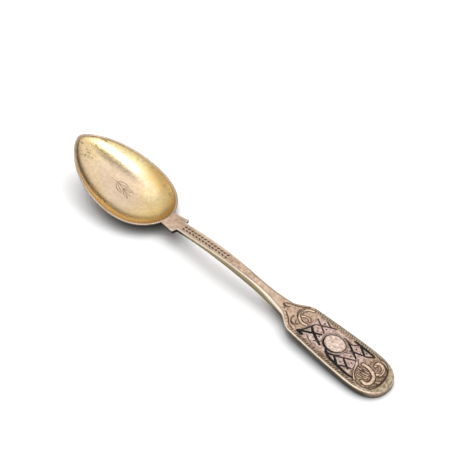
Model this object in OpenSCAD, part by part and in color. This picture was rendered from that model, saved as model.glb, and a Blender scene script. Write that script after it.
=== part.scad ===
// Silver-gilt teaspoon with an egg-shaped bowl, an arched stem and a fiddle-shaped end that is
// engraved and filled with niello. It lies on a table at z = 0: the bowl's worn back and the
// handle's end touch it. X runs from the bowl's tip to the handle's end, and the middle is at 0.

/* [Bowl] */
// Length of the bowl from its tip to the heel
bowl_l = 43.8; // [38:0.1:60]
// Width of the bowl at its widest
bowl_w = 26.2; // [20:0.1:36]
// Distance from the tip to the widest place
bowl_widest_x = 24.5; // [20:0.1:29]
// Depth of the bowl's back below its side rim
bowl_depth = 5.25; // [3.5:0.05:9]
// Thickness of the bowl's wall
bowl_wall = 0.85; // [0.5:0.05:1.4]
// Height of the rounded lip above the hollow's edge
lip_h = 0.3; // [0.1:0.05:0.6]
// Rise of the tip above the lowest place of the rim
tip_rise = 8.25; // [4:0.05:12]
// Rise of the rim at the heel above its lowest place
heel_rise = 0.25; // [0:0.05:1]
// Distance from the heel back to the lowest place of the rim
rim_low_back = 4.8; // [3:0.1:9]
// Depth worn off the back where the bowl and the handle's end rest
worn_depth = 0.1; // [0.05:0.01:0.2]
// Thickness of the gold lining
gilding_t = 0.1; // [0.05:0.01:0.2]

/* [Heel] */
// Length of the heel drop under the bowl
heel_l = 5.6; // [4:0.1:9]
// Thickness of the heel drop at its front
heel_t = 0.45; // [0.3:0.05:0.8]
// Gap that the solder fills
solder_t = 0.16; // [0.1:0.01:0.3]
// Clearance between the solder and each face it joins
solder_clear = 0.02; // [0.01:0.005:0.04]

/* [Fins] */
// Length of the fins along the stem
fin_l = 5.7; // [4:0.1:9]
// Width across the fins where they meet the bowl
fin_root_w = 5.8; // [4.8:0.1:7]
// Width across the fins at their square ends
fin_w = 7.6; // [6:0.1:10]
// Length of the step from the fins in to the stem
fin_step_l = 0.5; // [0.3:0.1:1.5]

/* [Stem] */
// Length from the heel to where the handle starts to widen
stem_l = 54.2; // [44:0.1:80]
// Width of the stem behind the fins
stem_w = 4.2; // [3.5:0.1:5.6]
// Width of the stem at its waist
waist_w = 3.2; // [2.4:0.1:4.4]
// Width of the stem where the handle starts to widen
neck_w = 5.9; // [4.5:0.1:7.5]
// Length from the waist to where the handle starts to widen
waist_back = 13.5; // [10:0.5:22]
// Thickness of the stem at the fins
root_t = 1.5; // [1.2:0.05:3]
// Thickness of the stem at its waist
stem_t = 3.4; // [2:0.05:4]
// Rise of the stem's crown above the heel
crown_rise = 2.6; // [1:0.1:6]
// Distance from the heel to the crown
crown_l = 28.2; // [20:0.1:36]
// Width of the bevel beside the neck
neck_bevel = 0.65; // [0.3:0.05:0.9]

/* [End] */
// Length of the wide end
end_l = 42; // [36:0.1:56]
// Width of the wide end at its widest
end_w = 15; // [13.5:0.1:18]
// Width where the shoulders level out
shoulder_w = 12.6; // [11:0.1:13.4]
// Length of the shoulders
shoulder_l = 7; // [5:0.1:9]
// Length of the rounded tip
round_l = 12; // [9:0.1:15]
// Width of the blunt middle of the rounded tip
blunt_w = 1; // [0.6:0.1:2]
// Thickness of the wide end
end_t = 2.2; // [1:0.05:2.8]
// Width of the bevel round the wide end
end_bevel = 0.33; // [0.2:0.01:0.5]
// Length over which the stem's arch runs out into the wide end
run_out_l = 6; // [4:0.1:9]
// Length of the part that turns down at the tip
turn_l = 10; // [7:0.1:14]
// Drop of the part that turns down
turn_drop = 1; // [0.8:0.1:3]
// Drop of the flat face between the arch and the turn
face_drop = 1.45; // [0.4:0.05:2]

/* [Niello] */
// Depth of the inlay
niello_t = 0.2; // [0.12:0.01:0.3]
// Width of a trellis bar
bar_w = 0.4; // [0.3:0.01:0.5]
// Width of a trellis border
border_w = 0.46; // [0.35:0.01:0.6]
// Width of a scroll stroke
scroll_w = 0.28; // [0.2:0.01:0.4]
// Length of the blank medallion
medallion_l = 7; // [6:0.1:8]
// Width of the blank medallion
medallion_w = 5.3; // [4.5:0.1:6]
// Width of the ring round the medallion
ring_w = 0.55; // [0.4:0.01:0.7]
// Extra width of the ring on its shaded side
ring_shade = 0.5; // [0:0.05:0.7]
// Length of a trellis seed
seed_l = 0.62; // [0.4:0.01:0.8]
// Width of a trellis seed
seed_w = 0.42; // [0.3:0.01:0.55]
// Spacing of the border strokes
tick_pitch = 0.95; // [0.8:0.05:1.4]
// Length of a border stroke across the handle
tick_l = 0.8; // [0.5:0.05:1]
// Width of a border stroke
tick_w = 0.24; // [0.15:0.01:0.3]
// Lean of a border stroke along the handle
tick_lean = 0.5; // [0:0.05:0.8]
// Distance from the bevel to the border strokes
tick_inset = 0.25; // [0.15:0.05:0.5]
// Spacing of the leaf pairs along the stem
leaf_pitch = 1.5; // [1.2:0.05:2]
// Length of a leaf along the stem
leaf_l = 0.95; // [0.7:0.05:1.1]
// Spread of a leaf pair to each side of the middle
leaf_spread = 0.85; // [0.6:0.05:1.1]
// Width of a leaf stroke
leaf_w = 0.26; // [0.2:0.01:0.35]
// Distance from the fins to the first leaf pair
leaf_start = 1.2; // [0.8:0.1:3]
// Length of the stem that the leaf pairs fill
leaf_run = 20; // [10:0.5:24]

/* [Hidden] */

silver = [0.74, 0.71, 0.66];
gilt = [0.86, 0.68, 0.36];
worn_gilt = [0.8, 0.66, 0.53];
solder_grey = [0.66, 0.64, 0.6];
niello_black = [0.13, 0.11, 0.12];
niello_brown = [0.36, 0.24, 0.15];

// Places along the handle, from the bowl's tip
spoon_l = bowl_l + stem_l + end_l;
fin_x = bowl_l + fin_l;
stem_x = fin_x + fin_step_l;
crown_x = bowl_l + crown_l;
waist_x = bowl_l + stem_l - waist_back;
end_x = bowl_l + stem_l;
face_x = end_x + run_out_l;
shoulder_x = end_x + shoulder_l;
turn_x = spoon_l - turn_l;
round_x = spoon_l - round_l;
rim_low_x = bowl_l - rim_low_back;
overrun = end_t;

// Shape of the bowl, as shares and powers
front_fullness_share = 0.66;
rear_fullness_share = 0.56;
rear_power = 2.3;
tip_round_share = 0.02;
hub_share = 0.13;
rim_sag_power = 1.6;
dish_power = 2.3;
dish_root = 1.35;
hub_x = bowl_widest_x + (bowl_l - bowl_widest_x) * hub_share;
ring_shares = [0.14, 0.28, 0.42, 0.55, 0.67, 0.77, 0.85, 0.91, 0.955, 0.985, 1];
rim_steps = 72;
lip_angles = [35, 90, 145];

function mix(a, b, t) = a + (b - a) * t;
function limit(t) = min(1, max(0, t));
function ease(t) = (1 - cos(180 * limit(t))) / 2;

// Half the bowl's width at a distance from its tip
function outline_half(x) = x <= bowl_widest_x
    ? let(s = (bowl_widest_x - x) / bowl_widest_x,
          u = max(0, 1 - s * s),
          r = (u + tip_round_share) / (1 + tip_round_share))
      bowl_w / 2 * sqrt(u * pow(r, 2 * front_fullness_share - 1))
    : let(s = limit((x - bowl_widest_x) / (bowl_l - bowl_widest_x)))
      bowl_w / 2 * pow(1 - pow(s, rear_power), rear_fullness_share);

// Place of the rim behind the widest place, for a distance from the middle line
function rear_rim_x(y) =
    let(u = pow(min(1, abs(y) / (bowl_w / 2)), 1 / rear_fullness_share))
    bowl_widest_x + (bowl_l - bowl_widest_x) * pow(1 - u, 1 / rear_power);

// Rim height along the bowl, above the lowest place of the rim
function rim_raw(x) = x < rim_low_x
    ? tip_rise * pow((rim_low_x - x) / rim_low_x, rim_sag_power)
    : heel_rise * pow((x - rim_low_x) / rim_low_back, 2);

// Share of the full depth at a share of the way from the hub to the rim
function dish(rho) = pow(1 - pow(limit(rho), dish_power), 1 / dish_root);
function keel_rho(x) = x < hub_x ? (hub_x - x) / hub_x : (x - hub_x) / (bowl_l - hub_x);
function under_raw(x, rho) = rim_raw(x) - lip_h - (bowl_depth - lip_h) * dish(rho);
keel_steps = 80;
keel_low = min([for (i = [0 : keel_steps])
    under_raw(bowl_l * i / keel_steps, keel_rho(bowl_l * i / keel_steps))]);
lift = -keel_low - worn_depth;
function rim_z(x) = rim_raw(x) + lift;

// Share of the way from the hub to the rim for any place under the bowl
function is_inside(x, y, rho) =
    let(px = hub_x + (x - hub_x) / rho)
    px > 0 && px < bowl_l && abs(y) / rho <= outline_half(px);
near_rho_share = 0.01;
far_rho_share = 1.5;
halvings = 22;
function gauge(x, y, low = near_rho_share, high = far_rho_share, n = halvings) = n == 0
    ? high
    : let(m = (low + high) / 2)
      is_inside(x, y, m) ? gauge(x, y, low, m, n - 1) : gauge(x, y, m, high, n - 1);
function back_z(x, rho) = max(0, lift + under_raw(x, rho));

// A ring of the bowl: inset from the rim, shrunk to a share of the way from the hub
function rim_point(i) =
    let(a = 360 * i / rim_steps,
        run = cos(a) > 0 ? bowl_widest_x : bowl_l - bowl_widest_x,
        x = bowl_widest_x - run * cos(a))
    [x, (a < 180 ? 1 : -1) * outline_half(x)];
function ring_place(i, inset, rho) =
    let(p = rim_point(i) - [hub_x, 0])
    [hub_x, 0] + p * (1 - inset / norm(p)) * rho;
function back_ring(rho) = [for (i = [0 : rim_steps - 1])
    let(p = ring_place(i, 0, rho)) [p[0], p[1], back_z(p[0], rho)]];
function lip_ring(a) = [for (i = [0 : rim_steps - 1])
    let(p = ring_place(i, bowl_wall * (1 - cos(a)) / 2, 1))
    [p[0], p[1], rim_z(p[0]) - lip_h + lip_h * sin(a)]];
function hollow_z(x, rho, wall) = rim_z(x) - lip_h - (bowl_depth - lip_h - wall) * dish(rho);
function hollow_ring(rho, wall) = [for (i = [0 : rim_steps - 1])
    let(p = ring_place(i, wall, rho)) [p[0], p[1], hollow_z(p[0], rho, wall)]];
function turned(list) = [for (i = [len(list) - 1 : -1 : 0]) list[i]];

// A closed skin from a lower pole, over rings of the same count, to an upper pole
module ringed_solid(low_pole, rings, high_pole) {
    n = len(rings[0]);
    m = len(rings);
    points = concat([low_pole], [for (ring = rings) each ring], [high_pole]);
    low_fan = [for (i = [0 : n - 1]) [0, 1 + (i + 1) % n, 1 + i]];
    walls = [for (k = [0 : m - 2]) for (i = [0 : n - 1])
        let(a = 1 + k * n + i, b = 1 + k * n + (i + 1) % n)
        each [[a, b, a + n], [b, b + n, a + n]]];
    high_fan = [for (i = [0 : n - 1])
        [1 + (m - 1) * n + i, 1 + (m - 1) * n + (i + 1) % n, 1 + m * n]];
    polyhedron(points, concat(low_fan, walls, high_fan));
}

module bowl() {
    rings = concat(
        [for (r = ring_shares) back_ring(r)],
        [for (a = lip_angles) lip_ring(a)],
        [for (r = turned(ring_shares)) hollow_ring(r, bowl_wall)]);
    color(silver)
    translate([-spoon_l / 2, 0, 0])
    ringed_solid([hub_x, 0, back_z(hub_x, 0)], rings, [hub_x, 0, hollow_z(hub_x, 0, bowl_wall)]);
}

module bowl_gilding() {
    top_wall = bowl_wall + gilding_t;
    rings = concat(
        [for (r = ring_shares) hollow_ring(r, bowl_wall)],
        [for (r = turned(ring_shares)) hollow_ring(r, top_wall)]);
    color(gilt)
    translate([-spoon_l / 2, 0, 0])
    ringed_solid([hub_x, 0, hollow_z(hub_x, 0, bowl_wall)], rings,
                 [hub_x, 0, hollow_z(hub_x, 0, top_wall)]);
}

// Half the handle's width at a distance from the bowl's tip
heel_power = 2.2;
waist_power = 2;
neck_power = 1.85;
shoulder_power = 1.45;
flank_power = 1.5;
round_power = 3;
function half_w(x) =
    x < bowl_l ? fin_root_w / 2 * sqrt(max(0.01, 1 - pow(limit((bowl_l - x) / heel_l), heel_power)))
    : x < fin_x ? mix(fin_root_w, fin_w, (x - bowl_l) / fin_l) / 2
    : x < stem_x ? mix(fin_w, stem_w, (x - fin_x) / fin_step_l) / 2
    : x < waist_x ? mix(stem_w, waist_w, ease(pow((x - stem_x) / (waist_x - stem_x), waist_power))) / 2
    : x < end_x ? mix(waist_w, neck_w, pow((x - waist_x) / waist_back, neck_power)) / 2
    : x < shoulder_x
        ? mix(neck_w, shoulder_w, pow(sin(90 * (x - end_x) / shoulder_l), shoulder_power)) / 2
    : x < round_x
        ? mix(shoulder_w, end_w,
              1 - pow(1 - (x - shoulder_x) / (round_x - shoulder_x), flank_power)) / 2
    : round_half(x, 0);

// Half the width of the rounded tip, drawn in by an inset all round
function round_half(x, inset) =
    let(s = limit((x - round_x) / (round_l - inset)))
    mix(blunt_w, end_w - 2 * inset, sqrt(1 - pow(s, round_power))) / 2;

// Width of the bevel, which grows beside the neck and then runs round the end
bevel_grow_share = 0.35;
heel_bevel_share = 0.2;
function bevel(x) =
    let(start = mix(stem_x, waist_x, 1 - bevel_grow_share))
    x < bowl_l ? end_bevel * heel_bevel_share
    : x < start ? end_bevel * heel_bevel_share
    : x < waist_x + waist_back / 2
        ? mix(end_bevel * heel_bevel_share, neck_bevel,
              (x - start) / (waist_x + waist_back / 2 - start))
    : x < end_x ? neck_bevel
    : mix(neck_bevel, end_bevel, limit(2 * (x - end_x) / shoulder_l));
function top_half(x) = x < round_x ? half_w(x) - bevel(x)
    : x < spoon_l - end_bevel ? round_half(x, end_bevel)
    : blunt_w / 2;

// Height of the handle's top face
arch_lag_power = 1.2;
heel_z = rim_z(bowl_l);
crown_z = heel_z + crown_rise;
turn_z = end_t - worn_depth + turn_drop;
face_z = turn_z + face_drop;
face_slope = face_drop / (turn_x - face_x);
function arch_z(x) = x <= crown_x
    ? mix(heel_z, crown_z, sin(90 * limit((x - bowl_l) / crown_l)))
    : mix(crown_z, face_z, pow(sin(90 * pow((x - crown_x) / (face_x - crown_x), arch_lag_power)), 2));
function turn_down(d) = face_slope * d + (turn_drop - face_slope * turn_l) * pow(d / turn_l, 2);
function top_z(x) = x < face_x ? arch_z(x)
    : x < turn_x ? face_z - face_slope * (x - face_x)
    : turn_z - turn_down(x - turn_x);

// Thickness, and height of the straight side under the bevel
side_share = 0.6;
stem_roundness = 3.4;
end_roundness = 5;
swell_power = 1.3;
function thick(x) = x < waist_x
    ? mix(root_t, stem_t, ease(pow(limit((x - stem_x) / (waist_x - stem_x)), swell_power)))
    : mix(stem_t, end_t, ease((x - waist_x) / (face_x - waist_x)));
function side_h(x) = x < bowl_l ? heel_t * side_share : thick(x) * side_share;
function roundness(x) =
    mix(stem_roundness, end_roundness, limit((x - waist_x) / (shoulder_x - waist_x)));

// Stations near the heel bend with the bowl's rim, and straighten out along the fins
function bend(x) = limit((fin_x - x) / fin_l * 2 - 1);
function station_x(x, y) = x - bend(x) * (bowl_l - rear_rim_x(y));
function seat_z(x, y) = let(px = station_x(x, y)) back_z(px, gauge(px, y)) - solder_t;
function top_at(x, y) = x < bowl_l ? seat_z(x, y) : top_z(x);
function edge_drop(x) = max(0, x - (spoon_l - end_bevel));
function bottom_z(x) = x < bowl_l
    ? max(0, min(seat_z(x, 0) - heel_t, heel_z - root_t))
    : max(0, top_z(x) - thick(x));

across_steps = 4;
under_shares = [0.93, 0.75, 0.42, 0, -0.42, -0.75, -0.93];
function section(x) =
    let(h = half_w(x), ht = top_half(x), b = bevel(x), low = bottom_z(x), n = roundness(x),
        shoulder_z = top_at(x, h) - b,
        side_z = max(low, min(shoulder_z - side_h(x), shoulder_z)))
    concat(
        [for (j = [0 : across_steps]) let(y = ht * (2 * j / across_steps - 1))
            [station_x(x, y), y, top_at(x, y) - edge_drop(x)]],
        [[station_x(x, h), h, shoulder_z], [station_x(x, h), h, side_z]],
        [for (s = under_shares)
            [station_x(x, h * s), h * s,
             low + (side_z - low) * (1 - pow(1 - pow(abs(s), n), 1 / n))]],
        [[station_x(x, h), -h, side_z], [station_x(x, h), -h, shoulder_z]]);

// Stations along the handle, as shares of each stretch
heel_shares = [0, 0.06, 0.16, 0.3, 0.45, 0.6, 0.74, 0.86, 0.94, 0.985];
fin_shares = [0, 0.08, 0.25, 0.45, 0.7, 1];
stem_steps = 11;
waist_steps = 6;
shoulder_steps = 7;
face_steps = 9;
round_shares = [0, 0.16, 0.32, 0.46, 0.58, 0.69, 0.78, 0.86, 0.92, 0.965];
stations = concat(
    [for (s = heel_shares) bowl_l - heel_l * (1 - s)],
    [for (s = fin_shares) bowl_l + fin_l * s],
    [for (i = [0 : stem_steps]) mix(stem_x, waist_x, i / stem_steps)],
    [for (i = [1 : waist_steps]) mix(waist_x, end_x, i / waist_steps)],
    [for (i = [1 : shoulder_steps]) mix(end_x, shoulder_x, i / shoulder_steps)],
    [for (i = [1 : face_steps]) mix(shoulder_x, round_x, i / face_steps)],
    [for (s = round_shares) if (s > 0) mix(round_x, spoon_l - end_bevel, s)],
    [spoon_l - end_bevel, spoon_l]);

// The middle of a list of points
function sum_of(points, i = 0) = i == len(points) - 1 ? points[i] : points[i] + sum_of(points, i + 1);
function middle(points) = sum_of(points) / len(points);

// A closed skin over sections of the same count, from the middle of the first to that of the last
module lofted_solid(sections) {
    last = len(sections) - 1;
    ringed_solid(middle(sections[0]), sections, middle(sections[last]));
}

module handle_blank() {
    lofted_solid([for (x = stations) section(x)]);
}

// Strokes: smooth lines through chosen points, with a width that tapers to both ends
stroke_steps = 2;
taper_share = 0.45;
function curve_at(a, b, c, d, t) =
    (2 * b + (c - a) * t + (2 * a - 5 * b + 4 * c - d) * t * t
     + (3 * b - a - 3 * c + d) * t * t * t) / 2;
function smoothed(p) = len(p) < 3 ? p : concat(
    [for (i = [0 : len(p) - 2]) for (k = [0 : stroke_steps - 1])
        curve_at(p[max(0, i - 1)], p[i], p[i + 1], p[min(len(p) - 1, i + 2)], k / stroke_steps)],
    [p[len(p) - 1]]);
function side_way(p, i) =
    let(d = p[min(len(p) - 1, i + 1)] - p[max(0, i - 1)])
    [-d[1], d[0]] / norm(d);
function ribbon(p, w, taper) =
    let(n = len(p) - 1,
        half = [for (i = [0 : n]) w / 2 * mix(taper, 1, n < 2 ? 1 : sin(180 * i / n))])
    concat([for (i = [0 : n]) p[i] + side_way(p, i) * half[i]],
           [for (i = [n : -1 : 0]) p[i] - side_way(p, i) * half[i]]);
function field(s) = [end_x + s[0] * end_l, s[1] * end_w / 2];

module strokes(table, w, taper) {
    for (shares = table)
        polygon(ribbon(smoothed([for (s = shares) field(s)]), w, taper));
}

module oval(centre, l, w, turn = 0) {
    oval_steps = 36;
    translate(centre)
    rotate(turn)
    polygon([for (i = [0 : oval_steps - 1])
        [l / 2 * cos(360 * i / oval_steps), w / 2 * sin(360 * i / oval_steps)]]);
}

// Draws its children, given in plan, on the plane through two places of the top face
module on_face(xa, xb, sink) {
    translate([xa, 0, top_z(xa)])
    rotate([0, atan2(top_z(xa) - top_z(xb), xb - xa), 0])
    translate([-xa, 0, -sink])
    children();
}

// A piece of metal under the top face, with the same facets as the handle's
module top_skin(xa, xb) {
    depth = end_t;
    near = [for (x = stations) if (x >= xa && x <= xb) x];
    sections = [for (x = near)
        let(h = top_half(x))
        concat(
            [for (j = [0 : across_steps]) let(y = h * (2 * j / across_steps - 1))
                [x, y, top_z(x)]],
            [[x, h, top_z(x) - depth], [x, -h, top_z(x) - depth]])];
    lofted_solid(sections);
}

// Places of the strokes: shares of the wide end's length from its start, and of its half width
inner_bar_shares = [
    [[0.164, 0.667], [0.36, 0.08]],
    [[0.25, -0.053], [0.421, -0.533]],
    [[0.29, 0.667], [0.388, 0.4]],
    [[0.224, -0.4], [0.3, -0.573]],
    [[0.21, -0.587], [0.364, -0.027]],
    [[0.298, 0.267], [0.4, 0.613]],
    [[0.35, -0.533], [0.388, -0.387]]];
inner_border_shares = [
    [[0.2, -0.547], [0.24, -0.32], [0.257, -0.053], [0.262, 0.147], [0.246, 0.34], [0.22, 0.48]],
    [[0.195, -0.533], [0.226, -0.593], [0.267, -0.607]]];
outer_bar_shares = [
    [[0.5, 0.52], [0.526, 0.533], [0.56, 0.4], [0.624, 0.227], [0.674, 0.08]],
    [[0.605, 0.693], [0.643, 0.613], [0.69, 0.427], [0.717, 0.36]],
    [[0.617, -0.293], [0.707, -0.573]],
    [[0.548, -0.413], [0.621, -0.713]],
    [[0.576, 0.507], [0.617, 0.667]],
    [[0.59, 0.08], [0.629, 0.22], [0.683, 0.387]],
    [[0.569, -0.373], [0.617, -0.287], [0.655, -0.147], [0.693, -0.013]],
    [[0.621, -0.713], [0.71, -0.387]]];
outer_border_shares = [
    [[0.552, 0.707], [0.762, 0.707]],
    [[0.532, -0.6], [0.55, -0.693], [0.62, -0.72], [0.764, -0.707]],
    [[0.757, 0.72], [0.738, 0.573], [0.714, 0.44], [0.705, 0.267]]];
seed_shares = [
    [0.31, -0.013], [0.348, 0.28], [0.358, -0.18], [0.36, 0.62], [0.623, 0.427],
    [0.636, 0], [0.621, -0.493], [0.676, -0.213], [0.698, 0.573]];
stem_scroll_shares = [
    [[-0.021, 0.147], [-0.044, 0.027], [-0.024, -0.053], [0, -0.147]],
    [[0.01, 0.24], [0.038, 0.307], [0.071, 0.427], [0.105, 0.62]],
    [[0.014, -0.213], [0.062, -0.333], [0.086, -0.44], [0.119, -0.6]],
    [[0.119, 0.44], [0.11, 0.28], [0.117, 0.107], [0.143, -0.013], [0.176, -0.067], [0.21, -0.08]],
    [[0.11, 0.613], [0.088, 0.4], [0.083, 0.213], [0.098, 0.027], [0.121, -0.107],
     [0.157, -0.193], [0.19, -0.213]],
    [[0.086, -0.067], [0.093, -0.307], [0.112, -0.453], [0.136, -0.507], [0.157, -0.453],
     [0.171, -0.333], [0.167, -0.253]],
    [[0.129, -0.187], [0.136, -0.293], [0.148, -0.373]],
    [[0.143, 0.08], [0.167, 0.147], [0.202, 0.133]]];
end_scroll_shares = [
    [[0.79, 0.48], [0.798, 0.653], [0.833, 0.72], [0.881, 0.653], [0.914, 0.48], [0.933, 0.213],
     [0.938, -0.027], [0.931, -0.293], [0.912, -0.52], [0.881, -0.653]],
    [[0.74, 0.853], [0.775, 0.827], [0.807, 0.773]],
    [[0.869, 0.56], [0.883, 0.4], [0.886, 0.213], [0.879, 0.107]],
    [[0.843, 0.173], [0.874, 0.067], [0.895, -0.08], [0.904, -0.267], [0.895, -0.48],
     [0.871, -0.6], [0.843, -0.6], [0.826, -0.53]],
    [[0.745, 0.067], [0.786, 0.08], [0.824, 0.027], [0.848, -0.093], [0.864, -0.24],
     [0.864, -0.387], [0.85, -0.46], [0.833, -0.46]],
    [[0.8, 0.4], [0.814, 0.473], [0.833, 0.453], [0.845, 0.36], [0.852, 0.267]],
    [[0.702, -0.133], [0.721, -0.32], [0.745, -0.533], [0.779, -0.72], [0.795, -0.8]],
    [[0.721, -0.093], [0.74, -0.32], [0.767, -0.547], [0.81, -0.747]],
    [[0.762, -0.12], [0.81, -0.1]],
    [[0.768, -0.25], [0.826, -0.24]],
    [[0.774, -0.38], [0.822, -0.38]]];
scroll_start_x = stations[len([for (x = stations) if (x < end_x - run_out_l) x])];
scroll_end_x = shoulder_x;
tip_start_share = 0.69;
tip_scroll_x = stations[len([for (x = stations) if (x < end_x + end_l * tip_start_share) x]) - 1];

// Depth of a plane under the chord, so that the inlay is nowhere thinner than it should be
function chord_sag(xa, xb) = max([for (i = [0 : 8])
    let(x = mix(xa, xb, i / 8)) mix(top_z(xa), top_z(xb), i / 8) - top_z(x)]);

// Medallion between the two trellises
medallion_share = [0.48, 0.007];
module medallion_ring_plan() {
    place = field(medallion_share);
    difference() {
        oval(place - [0, ring_shade / 2], medallion_l + 2 * ring_w,
             medallion_w + 2 * ring_w + ring_shade);
        oval(place, medallion_l, medallion_w);
    }
}
module off_medallion() {
    place = field(medallion_share);
    difference() {
        children();
        oval(place - [0, ring_shade / 2], medallion_l + 2 * ring_w,
             medallion_w + 2 * ring_w + ring_shade);
    }
}
module inner_lattice_plan() {
    off_medallion() {
        strokes(inner_bar_shares, bar_w, 1);
        strokes(inner_border_shares, border_w, 1);
    }
}
module outer_lattice_plan() {
    off_medallion() {
        strokes(outer_bar_shares, bar_w, 1);
        strokes(outer_border_shares, border_w, 1);
    }
}
module seeds_plan() {
    for (s = seed_shares)
        oval(field(s), seed_l, seed_w);
}

// Border strokes lean along both edges, from the shoulders to the rounded tip
tick_from_share = 0.19;
tick_to_share = 0.755;
module ticks_plan() {
    from_x = end_x + end_l * tick_from_share;
    count = floor(end_l * (tick_to_share - tick_from_share) / tick_pitch);
    for (i = [0 : count - 1]) {
        x = from_x + i * tick_pitch;
        outer = half_w(x) - end_bevel - tick_inset;
        for (side = [-1, 1])
            polygon(ribbon([[x, side * outer], [x + tick_lean, side * (outer - tick_l)]],
                           tick_w, 1));
    }
}

// Leaf pairs along the stem, each on its own small face
leaf_bow_share = 0.6;
module leaf_pairs(t, over) {
    count = floor(leaf_run / leaf_pitch);
    for (i = [0 : count - 1]) {
        x = stem_x + leaf_start + i * leaf_pitch;
        on_face(x, x + leaf_l, t)
        linear_extrude(t + over)
        for (side = [-1, 1]) {
            bow = [x + leaf_l / 2, side * leaf_spread * leaf_bow_share];
            tip = [x + leaf_l, side * leaf_spread];
            polygon(ribbon(smoothed([[x, side * leaf_w], bow, tip]), leaf_w, taper_share));
        }
    }
}

module face_inlay(over) {
    on_face(face_x, turn_x, niello_t)
    linear_extrude(niello_t + over)
    children();
}
module stem_scroll_cut() {
    sag = chord_sag(scroll_start_x, scroll_end_x) + niello_t;
    on_face(scroll_start_x, scroll_end_x, sag)
    linear_extrude(sag + overrun)
    strokes(stem_scroll_shares, scroll_w, taper_share);
}
module end_scroll_cut() {
    on_face(turn_x, spoon_l - end_bevel, niello_t)
    linear_extrude(niello_t + overrun)
    strokes(end_scroll_shares, scroll_w, taper_share);
}

module handle() {
    color(worn_gilt)
    translate([-spoon_l / 2, 0, 0])
    difference() {
        handle_blank();
        leaf_pairs(niello_t, overrun);
        stem_scroll_cut();
        face_inlay(overrun) inner_lattice_plan();
        face_inlay(overrun) medallion_ring_plan();
        face_inlay(overrun) outer_lattice_plan();
        face_inlay(overrun) seeds_plan();
        face_inlay(overrun) ticks_plan();
        end_scroll_cut();
    }
}

// Thin sheet of solder on the heel drop's seat, up to the bowl's rim
module solder_seam() {
    near = [for (s = heel_shares) if (s > 0) bowl_l - heel_l * (1 - s)];
    steps = across_steps;
    sections = [for (x = near)
        let(h = top_half(x) - solder_t)
        concat(
            [for (j = [0 : steps]) let(y = h * (2 * j / steps - 1))
                [station_x(x, y), y, seat_z(x, y) + solder_t - solder_clear]],
            [for (j = [steps : -1 : 0]) let(y = h * (2 * j / steps - 1))
                [station_x(x, y), y, seat_z(x, y) + solder_clear]])];
    color(solder_grey)
    translate([-spoon_l / 2, 0, 0])
    lofted_solid(sections);
}

module niello_stem_band() {
    color(niello_black)
    translate([-spoon_l / 2, 0, 0])
    leaf_pairs(niello_t, 0);
}

module niello_stem_scroll() {
    color(niello_brown)
    translate([-spoon_l / 2, 0, 0])
    intersection() {
        top_skin(scroll_start_x, face_x + shoulder_l);
        stem_scroll_cut();
    }
}

module niello_inner_lattice() {
    color(niello_black)
    translate([-spoon_l / 2, 0, 0])
    face_inlay(0) inner_lattice_plan();
}

module niello_medallion_ring() {
    color(niello_black)
    translate([-spoon_l / 2, 0, 0])
    face_inlay(0) medallion_ring_plan();
}

module niello_outer_lattice() {
    color(niello_black)
    translate([-spoon_l / 2, 0, 0])
    face_inlay(0) outer_lattice_plan();
}

module niello_seeds() {
    color(niello_black)
    translate([-spoon_l / 2, 0, 0])
    face_inlay(0) seeds_plan();
}

module niello_border() {
    color(niello_brown)
    translate([-spoon_l / 2, 0, 0])
    face_inlay(0) ticks_plan();
}

module niello_end_scroll() {
    color(niello_brown)
    translate([-spoon_l / 2, 0, 0])
    intersection() {
        top_skin(tip_scroll_x, spoon_l - end_bevel);
        end_scroll_cut();
    }
}

bowl();
bowl_gilding();
handle();
solder_seam();
niello_stem_band();
niello_stem_scroll();
niello_inner_lattice();
niello_medallion_ring();
niello_outer_lattice();
niello_seeds();
niello_border();
niello_end_scroll();
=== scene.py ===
import math

import bmesh
import bpy
import numpy as np
from mathutils import Matrix, Quaternion, Vector


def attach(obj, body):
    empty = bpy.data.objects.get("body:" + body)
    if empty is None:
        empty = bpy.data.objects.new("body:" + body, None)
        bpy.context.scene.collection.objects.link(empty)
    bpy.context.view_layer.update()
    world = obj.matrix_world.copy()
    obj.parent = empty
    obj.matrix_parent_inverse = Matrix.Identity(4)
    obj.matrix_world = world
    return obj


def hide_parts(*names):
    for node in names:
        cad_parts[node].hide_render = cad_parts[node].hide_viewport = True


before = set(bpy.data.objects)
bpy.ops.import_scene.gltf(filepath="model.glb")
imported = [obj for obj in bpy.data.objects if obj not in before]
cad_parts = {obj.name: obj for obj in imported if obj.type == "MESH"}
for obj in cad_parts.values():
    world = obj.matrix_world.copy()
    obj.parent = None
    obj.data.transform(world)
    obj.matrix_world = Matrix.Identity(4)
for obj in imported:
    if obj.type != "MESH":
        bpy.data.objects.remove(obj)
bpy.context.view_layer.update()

# All sizes below are in millimetres, with x from the bowl's tip to the handle's end.
MM = 0.001

# Bowl
BOWL_L = 43.8
BOWL_W = 26.2
WIDEST_X = 24.5
BOWL_DEPTH = 5.25
BOWL_WALL = 0.85
LIP_H = 0.3
TIP_RISE = 8.25
HEEL_RISE = 0.25
RIM_LOW_BACK = 4.8
WORN_DEPTH = 0.1
GILDING_T = 0.1
FRONT_FULLNESS = 0.66
REAR_FULLNESS = 0.56
REAR_POWER = 2.3
TIP_ROUND = 0.02
HUB_SHARE = 0.13
HUB_X = WIDEST_X + (BOWL_L - WIDEST_X) * HUB_SHARE
RIM_SAG_POWER = 1.6
DISH_POWER = 2.3
DISH_ROOT = 1.35
KEEL_STEPS = 80
NEAREST_RHO = 0.01
FARTHEST_RHO = 1.5
HALVINGS = 22

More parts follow.
